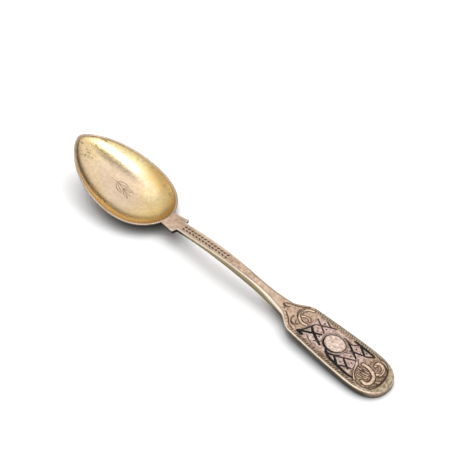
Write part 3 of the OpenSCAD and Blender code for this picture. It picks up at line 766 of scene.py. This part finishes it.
def make_worn_gilt():
    made, tree, shader, place = start_material("worn gilt")
    height, _ = handling(tree, place)
    dull = tarnish(tree, place, 170, 0.4, 0.66)
    grain = tarnish(tree, place, 1000, 0.48, 0.57)
    worn_rim = blended(tree, grain, (0.58, 0.455, 0.32), (0.24, 0.175, 0.115))
    worn_rim = tinted(tree, worn_rim, "pale_rim", (0.60, 0.52, 0.42))
    colour = tinted(tree, worn_face(tree, place, dull, grain), "rim", worn_rim)
    mottled = tarnish(tree, place, 1100, 0.4, 0.62)
    strap = blended(tree, mottled, (1.0, 0.78, 0.58), (0.52, 0.36, 0.25))
    blank = blended(tree, mottled, (1.0, 0.86, 0.74), (0.54, 0.33, 0.26))
    colour = tinted(tree, colour, "polish", tinted(tree, strap, "field", blank))
    colour = tinted(tree, colour, "green", (0.40, 0.42, 0.34), 0.55)
    # Painted shade: the handle's sides are painted near black, with tarnish patches, and olive brown
    # on the upper sides of the stem.
    side = blended(tree, dull, (0.10, 0.075, 0.045), (0.045, 0.034, 0.022))
    side = tinted(tree, side, "slender", (0.30, 0.25, 0.13))
    colour = tinted(tree, colour, "side", side)
    # Partly rubbed wear, partly a painted highlight: the bevels and edges are painted pale cream.
    colour = tinted(tree, colour, "edge", (1.0, 0.92, 0.76))
    # Painted shade: the corners where the fins step down to the stem are painted black.
    colour = tinted(tree, colour, "notch", (0.03, 0.02, 0.015))
    speck = remapped(tree, tarnish(tree, place, 1400, 0.38, 0.58), 0, 1, 0.25, 1.0)
    ground = product(tree, attribute(tree, "ground"), speck)
    colour = blended(tree, ground, colour, (0.17, 0.105, 0.065))
    # The engraving's outlines, and the painted shade line just inside each top edge along the stem
    # and neck.
    colour = tinted(tree, colour, "lines", (0.075, 0.042, 0.03), 0.95)
    finish_surface(tree, shader, colour, remapped(tree, ground, 0, 1, 0.28, 0.5), height)
    return made


def make_niello(name, dark, pale, metallic):
    made, tree, shader, place = start_material(name, metallic)
    shader.inputs["Specular IOR Level"].default_value = 0.15
    worn = tarnish(tree, place, 500, 0.5, 0.72)
    height, _ = handling(tree, place)
    colour = tinted(tree, blended(tree, worn, dark, pale), "thin", (0.10, 0.055, 0.05))
    rough = remapped(tree, worn, 0, 1, 0.45, 0.6)
    finish_surface(tree, shader, colour, rough, height, BUMP_DEPTH / 2)
    return made


def make_solder():
    made, tree, shader, place = start_material("hard solder")
    dull = tarnish(tree, place, 600, 0.35, 0.7)
    colour = blended(tree, dull, (0.62, 0.58, 0.52), (0.30, 0.25, 0.19))
    finish_surface(tree, shader, colour, remapped(tree, dull, 0, 1, 0.35, 0.6), dull)
    return made


SILVER = make_silver()
LINING = make_lining()
WORN_GILT = make_worn_gilt()
NIELLO = make_niello("niello", (0.012, 0.01, 0.01), (0.035, 0.028, 0.025), 0.3)
WORN_NIELLO = make_niello("worn niello", (0.055, 0.032, 0.022), (0.16, 0.10, 0.065), 0.4)
SOLDER = make_solder()


# Bowl and lining

SPRIG = [
    [(16.6, -0.2), (19, 0.25), (21.5, 0), (25.4, -0.3)],
    [(18.2, 0.1), (19.2, 1.3), (20.8, 1.9), (22.4, 1.8)],
    [(18.2, 0.1), (20.2, 0.7), (21.6, 1.2), (22.4, 1.8)],
    [(18.4, 0), (19.4, -1.2), (20.9, -1.8), (22.6, -1.9)],
    [(18.4, 0), (20.3, -0.7), (21.7, -1.2), (22.6, -1.9)],
    [(21.2, 0), (22.4, 1), (23.9, 1.5), (25.3, 1.4)],
    [(21.2, 0), (23, 0.5), (24.3, 0.9), (25.3, 1.4)],
    [(21.4, 0), (22.6, -1), (24, -1.6), (25.5, -1.6)],
    [(21.4, 0), (23.2, -0.6), (24.5, -1), (25.5, -1.6)]]
SPRIG_LINE_W = 0.38
BOWL_TURNS = 240
BACK_STEPS = 56
LIP_STEPS = 8
HOLLOW_STEPS = 40
LINING_TURNS = 360
SPRIG_SHARE = 0.45
SPRIG_STEPS = 66
WALL_STEPS = 44
SEAT_STEPS = 16
SPIN_WELD = 0.00001


def spun(bm, profile, steps):
    """Spins a chain of radius and level round Z. Returns each point's radius, angle and level."""
    chain = [bm.verts.new((r, 0, level)) for r, level in profile]
    edges = [bm.edges.new(pair) for pair in zip(chain, chain[1:])]
    bmesh.ops.spin(bm, geom=chain + edges, cent=(0, 0, 0), axis=(0, 0, 1), dvec=(0, 0, 0),
                   angle=math.tau, steps=steps, use_merge=True, use_duplicate=False)
    bmesh.ops.remove_doubles(bm, verts=bm.verts, dist=SPIN_WELD)
    co = np.array([v.co for v in bm.verts])
    return np.hypot(co[:, 0], co[:, 1]), np.arctan2(co[:, 1], co[:, 0]), co[:, 2]


def set_masks(bm, masks):
    for name, mask in masks.items():
        layer = bm.verts.layers.float.new(name)
        for k, v in enumerate(bm.verts):
            v[layer] = float(mask[k])


def set_places(bm, x, y, z):
    for k, v in enumerate(bm.verts):
        v.co = (x[k], y[k], z[k])


def rising(count, power=1.8):
    return 1 - (1 - np.arange(count + 1) / count) ** power


def build_bowl():
    bm = bmesh.new()
    back = [(r, 0) for r in rising(BACK_STEPS)]
    lip = [(1, k / LIP_STEPS) for k in range(1, LIP_STEPS)]
    hollow = [(r, 1) for r in rising(HOLLOW_STEPS)[::-1]]
    rho, angle, level = spun(bm, back + lip + hollow, BOWL_TURNS)
    lip_turn = np.pi * level
    inset = BOWL_WALL * (1 - np.cos(lip_turn)) / 2
    x, y = ring_place(angle, inset, rho)
    z = np.where(level < 0.001, back_z(x, rho), rim_z(x) - LIP_H + LIP_H * np.sin(lip_turn))
    z = np.where(level > 0.999, hollow_z(x, rho, BOWL_WALL), z)
    # back marks the painted shade on the bowl's outer wall; under marks the lighter worn silver of
    # the underside.
    set_masks(bm, {
        "back": 1 - soft_step(0.05, 0.3, level),
        "under": (1 - soft_step(0.6, 0.85, rho)) * (level < 0.5)})
    set_places(bm, x, y, z)
    piece("bowl_raised", bm, SILVER, "bowl")


def sprig_cut(x, y):
    """Mask of the sprig's strokes, each thin at its ends."""
    cut = np.zeros(x.shape)
    for line in SPRIG:
        d, along = nearness(x, y, curve_through(line))
        width = SPRIG_LINE_W * (0.35 + 0.65 * np.sin(np.pi * along)) / 2
        cut = np.maximum(cut, 1 - soft_step(0.4, 1.5, d / width))
    return cut


def lining_masks(x, y, rho):
    heel_side = soft_step(0.3, 0.95, (x - HUB_X) / (BOWL_L - HUB_X))
    # warm: the patch on the far side by the heel, painted brighter gold partly as a sheen; the rosy
    # floor tint stays off it.
    warm = np.exp(-((x - 29.5) / 4.5) ** 2 - ((y - 5) / 3) ** 2)
    # amber: the band of painted shade on the far wall near the rim.
    amber = soft_step(0.6, 0.85, rho) * soft_step(3, 8, y) * soft_step(18, 27, x)
    tip_pits = 1 - soft_step(4, 14, x)
    edge_pits = 0.5 * soft_step(0.84, 0.9, rho) * soft_step(1, 4, y)
    floor = (1 - soft_step(0.5, 0.95, rho)) * (1 - soft_step(25, 36, x)) * (1 - 0.8 * warm)
    tip_wall = (1 - soft_step(-4, 4, y)) * soft_step(0.5, 0.7, rho) * (1 - soft_step(14, 22, x))
    return {
        "cut": sprig_cut(x, y),
        "floor": np.maximum(floor, 0.75 * tip_wall),
        "pale": np.maximum(0.65 * (1 - soft_step(20, 34, x)) * soft_step(-8, 5, y), 0.9 * warm),
        # heel: the painted shade on the wall at the heel end.
        "heel": soft_step(0.6, 0.86, rho) * heel_side,
        "amber": amber * (1 - 0.6 * soft_step(29, 35, x)),
        "pitted": np.maximum(tip_pits, edge_pits)}


def build_lining():
    bm = bmesh.new()
    inner = np.arange(SPRIG_STEPS) / SPRIG_STEPS * SPRIG_SHARE
    outer = SPRIG_SHARE + (1 - SPRIG_SHARE) * rising(WALL_STEPS)
    top = [(r, 1) for r in np.concatenate([inner, outer])]
    under = [(r, 0) for r in rising(SEAT_STEPS)[::-1]]
    rho, angle, level = spun(bm, top + under, LINING_TURNS)
    wall = BOWL_WALL + GILDING_T * (level > 0.5)
    x, y = ring_place(angle, wall, rho)
    z = hollow_z(x, rho, wall)
    set_masks(bm, lining_masks(x, y, rho))
    set_places(bm, x, y, z)
    piece("gilt_lining", bm, LINING, "bowl_gilding")


# Handle

TOP_STEPS = 108
EDGE_STEPS = 4
SIDE_STEPS = 2
UNDER_STEPS = 18
SKIN_STEPS = TOP_STEPS + 2 * EDGE_STEPS + 2 * SIDE_STEPS + UNDER_STEPS
BELOW_SIDE = EDGE_STEPS + SIDE_STEPS
SIDE_SHARE = 0.6
STEM_SQUARENESS = 3.4
END_SQUARENESS = 5
CREASE_INSET = 0.16
CREASE_W = 0.14
HANDLE_MASKS = (
    "ground", "lines", "polish", "green", "field", "rim", "side", "edge", "grime", "glint",
    "notch", "worked", "filed", "slender", "pale_rim")


def stations():
    tip_run = SPOON_L - ROUND_X
    parts = [
        np.linspace(BOWL_L - HEEL_L, BOWL_L - HEEL_L * 0.015, 26),
        np.linspace(BOWL_L, FIN_X, 26),
        np.linspace(FIN_X, STEM_X, 4)[1:],
        np.linspace(STEM_X, WAIST_X, 90)[1:],
        np.linspace(WAIST_X, END_X, 50)[1:],
        np.linspace(END_X, SHOULDER_X, 58)[1:],
        np.linspace(SHOULDER_X, ROUND_X, 180)[1:],
        ROUND_X + (tip_run - END_BEVEL) * rising(84, 1.5)[1:],
        SPOON_L - END_BEVEL * (1 - sine(np.linspace(0, 1, 6)[1:]))]
    return np.concatenate(parts)


def skin(x, k):
    """Handle's skin at stations x and steps k round them. Returns the place, the top's half
    width, a mark for the top and the steps down from its edge."""
    h = half_w(x)
    ht = top_half(x)
    d = np.maximum(0, x - (SPOON_L - END_BEVEL))
    drop = END_BEVEL - np.sqrt(np.maximum(0, END_BEVEL ** 2 - d ** 2))
    shoulder_z = top_at(x, h) - bevel(x)
    side_h = np.where(x < BOWL_L, HEEL_T, thick(x)) * SIDE_SHARE
    low = bottom_z(x)
    side_z = np.maximum(low, np.minimum(shoulder_z - side_h, shoulder_z))
    squareness = limit((x - WAIST_X) / (SHOULDER_X - WAIST_X))
    power = mix(STEM_SQUARENESS, END_SQUARENESS, squareness)
    on_top = k <= TOP_STEPS
    after = k - TOP_STEPS
    side = np.where(after <= (SKIN_STEPS - TOP_STEPS) / 2, 1, -1)
    step = np.where(side > 0, after, SKIN_STEPS - k)
    turn = np.pi / 2 * limit(step / EDGE_STEPS)
    y_top = ht * (2 * k / TOP_STEPS - 1)
    y_edge = side * (ht + (h - ht) * np.sin(turn))
    z_top = top_at(x, np.where(on_top, y_top, side * ht)) - drop
    z_edge = z_top - (z_top - shoulder_z) * (1 - np.cos(turn))
    z_side = mix(shoulder_z, side_z, limit((step - EDGE_STEPS) / SIDE_STEPS))
    round_t = limit((after - BELOW_SIDE) / UNDER_STEPS)
    c, s = np.cos(np.pi * round_t), np.sin(np.pi * round_t)
    y_under = h * np.sign(c) * abs(c) ** (2 / power)
    z_under = low + (side_z - low) * (1 - abs(s) ** (2 / power))
    under = (step > BELOW_SIDE) & ~on_top
    beside = (step > EDGE_STEPS) & ~under & ~on_top
    y = np.select([on_top, under, beside], [y_top, y_under, side * h], y_edge)
    z = np.select([on_top, under, beside], [z_top, z_under, z_side], z_edge)
    px = np.where(on_top, station_x(x, y_top), station_x(x, h))
    return px, y, z, ht, on_top, step


def top_masks(x, y, ht):
    """Masks on the handle's top: the worn rim, a stain along the leaves, a painted glint along the
    stem's edges and a painted shade line inside each top edge.
    """
    signed = y / np.maximum(0.1, ht)
    across = abs(signed)
    s = (x - END_X) / END_L
    rim_start = np.where(signed < 0, 0.92, 0.82)
    rim = soft_step(rim_start, rim_start + 0.06, across) * soft_step(FACE_X, FACE_X + 4, x)
    at_tip = soft_step(0.97, 1.05, oval_reach(s, signed, END_OVAL)) * soft_step(0.8, 0.87, s)
    band = between(x, STEM_X - 3, STEM_X + 2, LEAF_END_X, LEAF_END_X + 4)
    on_stem = between(x, BOWL_L + 2, STEM_X, END_X - 4, END_X + 3)
    # Painted shade: a dark line just inside each top edge, where the top turns down into the bevel.
    painted_bevel_shade = np.exp(-((abs(y) - ht + CREASE_INSET) / CREASE_W) ** 2)
    return {
        "rim": np.maximum(rim, at_tip),
        "grime": 0.4 * band * (1 - soft_step(0.4, 0.75, across)),
        "glint": 0.7 * soft_step(0.72, 0.92, across) * on_stem,
        "painted_bevel_shade": 0.9 * painted_bevel_shade * between(x, CROWN_X, WAIST_X - 2, END_X, END_X + 5)}


def side_masks(x, step):
    """Masks of shade and shine on the handle's edges and sides, by steps down from the top."""
    down = step / EDGE_STEPS
    side = soft_step(0.6, 1.2, down) * (1 - 0.5 * soft_step(BELOW_SIDE + 2, BELOW_SIDE + 6, step))
    edge = np.sin(np.pi * limit(down)) * (1 - 0.6 * soft_step(ROUND_X + 4, SPOON_L - 3, x))
    notch = between(x, FIN_X - 0.3, FIN_X + 0.1, STEM_X + 1, STEM_X + 4)
    return {
        "side": side * (1 - 0.25 * soft_step(SPOON_L - 5, SPOON_L - 2, x)),
        "edge": edge,
        "notch": notch * soft_step(0.2, 0.8, down)}


def handle_masks(x, y, ht, on_top, step):
    """Height of the carving, and the handle's masks by name."""
    height, *carving = [np.where(on_top, value, 0) for value in relief(x, y)]
    masks = dict(zip(HANDLE_MASKS, carving))
    masks |= {name: np.where(on_top, mask, 0) for name, mask in top_masks(x, y, ht).items()}
    masks |= {name: np.where(on_top, 0, mask) for name, mask in side_masks(x, step).items()}
    # The painted shade line is laid into the lines mask, which also holds the engraving's outlines.
    masks["lines"] = np.maximum(masks["lines"], masks.pop("painted_bevel_shade"))
    masks["worked"] = soft_step(END_X - 6, END_X + 3, x)
    masks["filed"] = between(x, STEM_X + 12, CROWN_X, WAIST_X - 4, WAIST_X + 4)
    # A lighter painted shade, olive brown, on the upper sides of the stem.
    slender = between(x, STEM_X + 1, STEM_X + 7, END_X - 6, END_X)
    masks["slender"] = slender * (1 - soft_step(EDGE_STEPS + 1, BELOW_SIDE + 2, step))
    across = abs(y) / np.maximum(0.1, ht)
    before_tip = 1 - soft_step(0.75, 0.95, (x - END_X) / END_L)
    masks["pale_rim"] = 0.8 * soft_step(0.2, 0.6, across) * before_tip
    return height, masks


def build_handle():
    bm = bmesh.new()
    xs = stations()
    layers = [bm.verts.layers.float.new(name) for name in HANDLE_MASKS]

    def place(i, j):
        x, y, z, ht, on_top, step = skin(xs[i], j % SKIN_STEPS)
        height, masks = handle_masks(x, y, ht, on_top, step)
        return (x, y, z + height, *[masks[name] for name in HANDLE_MASKS])

    lofted(bm, len(xs) - 1, SKIN_STEPS, place, layers)
    piece("handle_forged", bm, WORN_GILT, "handle")


# Niello

RIBBON_ACROSS = np.array([-1, -0.7, 0.7, 1, 0.85, -0.85, -1])
RIBBON_UP = np.array([-0.4, 1, 1, -0.4, -6, -6, -0.4])
RIBBON_COLS = len(RIBBON_ACROSS) - 1
RING_STEPS = 96
STROKE_SWELL = 1.15


def ribbon(bm, line, width, taper, rise=NIELLO_PROUD, layers=(), thin=0.0):
    """A strip of inlay that follows the face, with rounded shoulders and a flat back."""
    line = np.asarray(line)
    rows = len(line) - 1
    along = np.gradient(line, axis=0)
    along /= np.linalg.norm(along, axis=1)[:, None]
    half = width / 2 * mix(taper, 1, np.sin(np.pi * np.arange(rows + 1) / rows) ** 0.6)

    def place(i, j):
        offset = RIBBON_ACROSS[j] * half[i]
        x = line[i, 0] - along[i, 1] * offset
        y = line[i, 1] + along[i, 0] * offset
        height = relief(x, y)[0]
        return x, y, top_z(x) + height + rise * RIBBON_UP[j], np.full(x.shape, thin)

    lofted(bm, rows, RIBBON_COLS, place, layers)


def strokes(name, table, material, node, taper):
    """One piece of many strokes. On the trellises the narrow ones are browner."""
    bm = bmesh.new()
    layers = [bm.verts.layers.float.new("thin")]
    for k, (width, shares) in enumerate(table):
        thin = 0.8 * float(1 - soft_step(0.5, 0.75, width)) if material == NIELLO else 0.0
        ribbon(bm, field_curve(shares), width * STROKE_SWELL, taper, NIELLO_PROUD * (1 + 0.05 * k),
               layers, thin)
    piece(name, bm, material, node)


def oval_ring(bm):
    """A dark ring round the blank medallion, heavier towards the near side."""
    middle_x, middle_y = field(MEDALLION)

    def place(i, j):
        angle = math.tau * (i % RING_STEPS) / RING_STEPS
        heavy = limit(np.cos(angle - SHADE_TURN)) ** 1.5
        half = (RING_W * mix(0.75, 1, heavy) + RING_SHADE * heavy) / 2
        outwards = half + RIBBON_ACROSS[j] * half
        x = middle_x + (MEDALLION_L / 2 + outwards) * np.cos(angle)
        y = middle_y + (MEDALLION_W / 2 + outwards) * np.sin(angle)
        return x, y, top_z(x) + NIELLO_PROUD * RIBBON_UP[j]

    lofted(bm, RING_STEPS, RIBBON_COLS, place, close_rows=True)


def build_ring():
    bm = bmesh.new()
    oval_ring(bm)
    ribbon(bm, field_curve(RING_MASS), RING_MASS_W, 0.3, NIELLO_PROUD * 1.3)
    piece("niello_ring", bm, NIELLO, "niello_medallion_ring")


def build_seeds():
    bm = bmesh.new()
    for share in SEEDS:
        x, y = field(share)
        made = bmesh.ops.create_icosphere(bm, subdivisions=3, radius=0.5)["verts"]
        bmesh.ops.scale(bm, vec=(SEED_L, SEED_W, NIELLO_T), verts=made)
        bmesh.ops.translate(bm, vec=(x, y, float(top_z(x)) - NIELLO_T / 3), verts=made)
    piece("niello_lozenge_seeds", bm, NIELLO, "niello_seeds")


def build_border():
    """Slanted flecks along both edges, cut by hand, so no two are alike."""
    bm = bmesh.new()
    start, end = END_X + END_L * TICK_SPAN[0], END_X + END_L * TICK_SPAN[1]
    count = int((end - start) / TICK_PITCH)
    for k in range(count + 1):
        for side in (-1, 1):
            x = start + k * TICK_PITCH + 0.1 * math.sin(5.1 * k + side)
            reach = float(top_half(x)) - TICK_INSET
            depth = TICK_L * (1 + 0.2 * math.sin(3.7 * k + 2 * side))
            outer = (x, side * reach)
            middle = (x + TICK_LEAN * 0.35, side * (reach - depth * 0.55))
            inner = (x + TICK_LEAN, side * (reach - depth))
            width = TICK_W if side < 0 else FAR_TICK_W
            ribbon(bm, curve_through([outer, middle, inner], 3), width, 0.5)
    piece("niello_edge_flecks", bm, WORN_NIELLO, "niello_border")


def build_stem_band():
    """Pairs of small leaves along the stem."""
    bm = bmesh.new()
    start = STEM_X + LEAF_START
    for k in range(int(LEAF_RUN / LEAF_PITCH) + 1):
        x = start + k * LEAF_PITCH
        for side in (-1, 1):
            bow = (x + LEAF_L / 2, side * LEAF_SPREAD * 0.6)
            tip = (x + LEAF_L, side * LEAF_SPREAD)
            ribbon(bm, curve_through([(x, side * LEAF_W), bow, tip], 4), LEAF_W, 0.45)
    piece("niello_stem_leaves", bm, WORN_NIELLO, "niello_stem_band")


def build_inlay():
    strokes("niello_trellis_near_stem", INNER_STROKES, NIELLO,
            "niello_inner_lattice", 0.6)
    strokes("niello_trellis_near_end", OUTER_STROKES, NIELLO,
            "niello_outer_lattice", 0.6)
    strokes("niello_scroll_near_stem", [(SCROLL_W, line) for line in STEM_SCROLL],
            WORN_NIELLO, "niello_stem_scroll", 0.4)
    end_widths = [ARC_W] + [SCROLL_W] * (len(END_SCROLL) - 1)
    strokes("niello_scroll_near_end", list(zip(end_widths, END_SCROLL)),
            WORN_NIELLO, "niello_end_scroll", 0.4)


build_bowl()
build_lining()
build_handle()
build_inlay()
build_ring()
build_seeds()
build_border()
build_stem_band()

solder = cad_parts["solder_seam"].data
solder.materials.clear()
solder.materials.append(SOLDER)


# Camera, stage and light

# The camera's fit: angles in degrees, lengths in millimetres, places in the photo's pixels
VIEW_AZIMUTH = 135.85
VIEW_ELEVATION = 45.442
VIEW_DISTANCE = 576.5
FOCAL_PX = 1691.6
MIDDLE_PX = 225
TIP_PX = (81.39, 162.33)
SENSOR_W = 36

# Stage: directions are a turn to the right of the view and a height, in degrees, the rest metres
LAMP_DISTANCE = 1.3
WINDOW_SIDE = (20, 45)
DULL_SIDE = (-80, 35)
GLOW = (-120, 82)
GLOW_REACH = 36
GLOW_CORE = 15
LAMP_EDGE_TURN = 137
GAP_ALONG = (-0.22, 0.60)
GAP_ASIDE = (-0.25, 0.07)
LOW_SKY = (0.13, 0.11, 0.08)
DOME = (1.05, 1.05, 1.05)
DULL_SKY = (0.80, 0.79, 0.78)
BRIGHT_SKY = (1.45, 1.45, 1.45)
GAP_SKY = (0.44, 0.44, 0.42)
FLOOR_SIZE = 4
FLOOR_GLOW = 0.13
CONTACT_REACH = 0.007
CONTACT_SHADE = (0.055, 0.028, 0.014)
PAPER = (0.90, 0.90, 0.91)
PAPER_GLOW = (0.86, 0.94, 1.0)

scene = bpy.context.scene
scene.view_settings.view_transform = "Standard"


def bearing(turn, height):
    """A direction, turned to the right of the camera's view and raised, both in degrees."""
    azimuth, elevation = math.radians(VIEW_AZIMUTH - turn), math.radians(height)
    return Vector((math.cos(azimuth) * math.cos(elevation),
                   math.sin(azimuth) * math.cos(elevation), math.sin(elevation)))


def build_camera():
    """A pinhole at the photograph's place, found from the spoon's outline."""
    ahead = bearing(0, -VIEW_ELEVATION)
    right = bearing(90, 0)
    up = right.cross(ahead)
    across = (TIP_PX[0] - MIDDLE_PX) * VIEW_DISTANCE / FOCAL_PX
    above = -(TIP_PX[1] - MIDDLE_PX) * VIEW_DISTANCE / FOCAL_PX
    place = -(across * right + above * up + VIEW_DISTANCE * ahead) - Vector((SPOON_L / 2, 0, 0))
    data = bpy.data.cameras.new("camera")
    data.sensor_width = SENSOR_W
    data.lens = SENSOR_W * FOCAL_PX / (2 * MIDDLE_PX)
    made = bpy.data.objects.new("camera", data)
    made.matrix_world = Matrix.Translation(place * MM) @ Matrix(
        (right, up, -ahead)).transposed().to_4x4()
    scene.collection.objects.link(made)
    scene.camera = made


def build_floor():
    bm = bmesh.new()
    bmesh.ops.create_grid(bm, x_segments=1, y_segments=1, size=FLOOR_SIZE)
    mesh = bpy.data.meshes.new("floor")
    bm.to_mesh(mesh)
    bm.free()
    floor = bpy.data.objects.new("floor", mesh)
    scene.collection.objects.link(floor)
    made, tree, shader, _ = start_material("pale floor", 0.0)
    shader.inputs["Roughness"].default_value = 0.8
    shader.inputs["Emission Color"].default_value = (*PAPER_GLOW, 1)
    rays = add(tree, "ShaderNodeLightPath").outputs
    seen = math_node(tree, "ADD", rays["Is Camera Ray"], rays["Is Glossy Ray"])
    seen = math_node(tree, "ADD", seen, rays["Is Transmission Ray"], clamp=True)
    # Painted contact shadow: where the spoon is near, the paper darkens to CONTACT_SHADE and the glow
    # fades.
    open_sky = add(tree, "ShaderNodeAmbientOcclusion", {"Distance": CONTACT_REACH}).outputs["AO"]
    paper_with_painted_shadow = blended(tree, remapped(tree, open_sky, 0.15, 0.62), CONTACT_SHADE, PAPER)
    tree.links.new(paper_with_painted_shadow, shader.inputs["Base Color"])
    glow = product(tree, product(tree, seen, open_sky), FLOOR_GLOW)
    tree.links.new(glow, shader.inputs["Emission Strength"])
    mesh.materials.append(made)


def softbox(name, turn, height, size, radiance, roll=0, tint=(1, 1, 1), mirrored=True,
            on_floor=True):
    """A soft lamp, as wide and deep as size says in metres, that faces the spoon."""
    data = bpy.data.lights.new(name, "AREA")
    data.shape = "RECTANGLE"
    data.size, data.size_y = size
    data.energy = radiance * size[0] * size[1] * math.pi
    data.color = tint
    way = bearing(turn, height)
    made = bpy.data.objects.new(name, data)
    made.location = way * LAMP_DISTANCE
    made.rotation_mode = "QUATERNION"
    made.rotation_quaternion = way.to_track_quat("Z", "Y") @ Quaternion((0, 0, 1), math.radians(roll))
    made.visible_camera = False
    made.visible_glossy = mirrored
    made.visible_diffuse = on_floor
    scene.collection.objects.link(made)


def cosine(degrees):
    return math.cos(math.radians(degrees))


def towards(tree, way, direction):
    made = add(tree, "ShaderNodeVectorMath", {0: way, 1: direction}, operation="DOT_PRODUCT")
    return made.outputs["Value"]


def build_world():
    """A pale dome over a dark floor line, with a dim gap beside the overhead lamp."""
    world = bpy.data.worlds.new("studio")
    scene.world = world
    world.use_nodes = True
    tree = world.node_tree
    tree.nodes.clear()
    way = add(tree, "ShaderNodeTexCoord").outputs["Generated"]
    up = add(tree, "ShaderNodeSeparateXYZ", {0: way}).outputs["Z"]
    colour = blended(tree, remapped(tree, up, 0.34, 0.52), LOW_SKY, DOME)
    side = remapped(tree, towards(tree, way, bearing(*DULL_SIDE)), 0.1, 0.95)
    colour = blended(tree, side, colour, DULL_SKY)
    glow = remapped(tree, towards(tree, way, bearing(*GLOW)), cosine(GLOW_REACH), cosine(GLOW_CORE))
    colour = blended(tree, glow, colour, BRIGHT_SKY)
    along = towards(tree, way, bearing(LAMP_EDGE_TURN, 0))
    aside = towards(tree, way, bearing(LAMP_EDGE_TURN + 90, 0))
    along = remapped(tree, along, *GAP_ALONG, -1, 1)
    aside = remapped(tree, aside, *GAP_ASIDE, -1, 1)
    spread = math_node(tree, "ADD", product(tree, along, along), product(tree, aside, aside))
    gap = product(tree, remapped(tree, spread, 1.0, 0.35), remapped(tree, up, 0.5, 0.7))
    colour = blended(tree, gap, colour, GAP_SKY)
    rays = add(tree, "ShaderNodeLightPath").outputs
    on_floor = remapped(tree, towards(tree, way, bearing(*WINDOW_SIDE)), -0.3, 0.9, 0.12, 1.2)
    strength = remapped(tree, rays["Is Diffuse Ray"], 0, 1, 1.0, on_floor)
    back = add(tree, "ShaderNodeBackground", {"Color": colour, "Strength": strength})
    out = tree.nodes.new("ShaderNodeOutputWorld")
    tree.links.new(back.outputs[0], out.inputs["Surface"])


build_camera()
build_floor()
build_world()
softbox("overhead", 167, 73, (0.95, 0.34), 2.6, roll=-60, on_floor=False)
softbox("window", 24, 58, (1.7, 1.2), 2.15, tint=(1.0, 0.97, 0.925), mirrored=False)
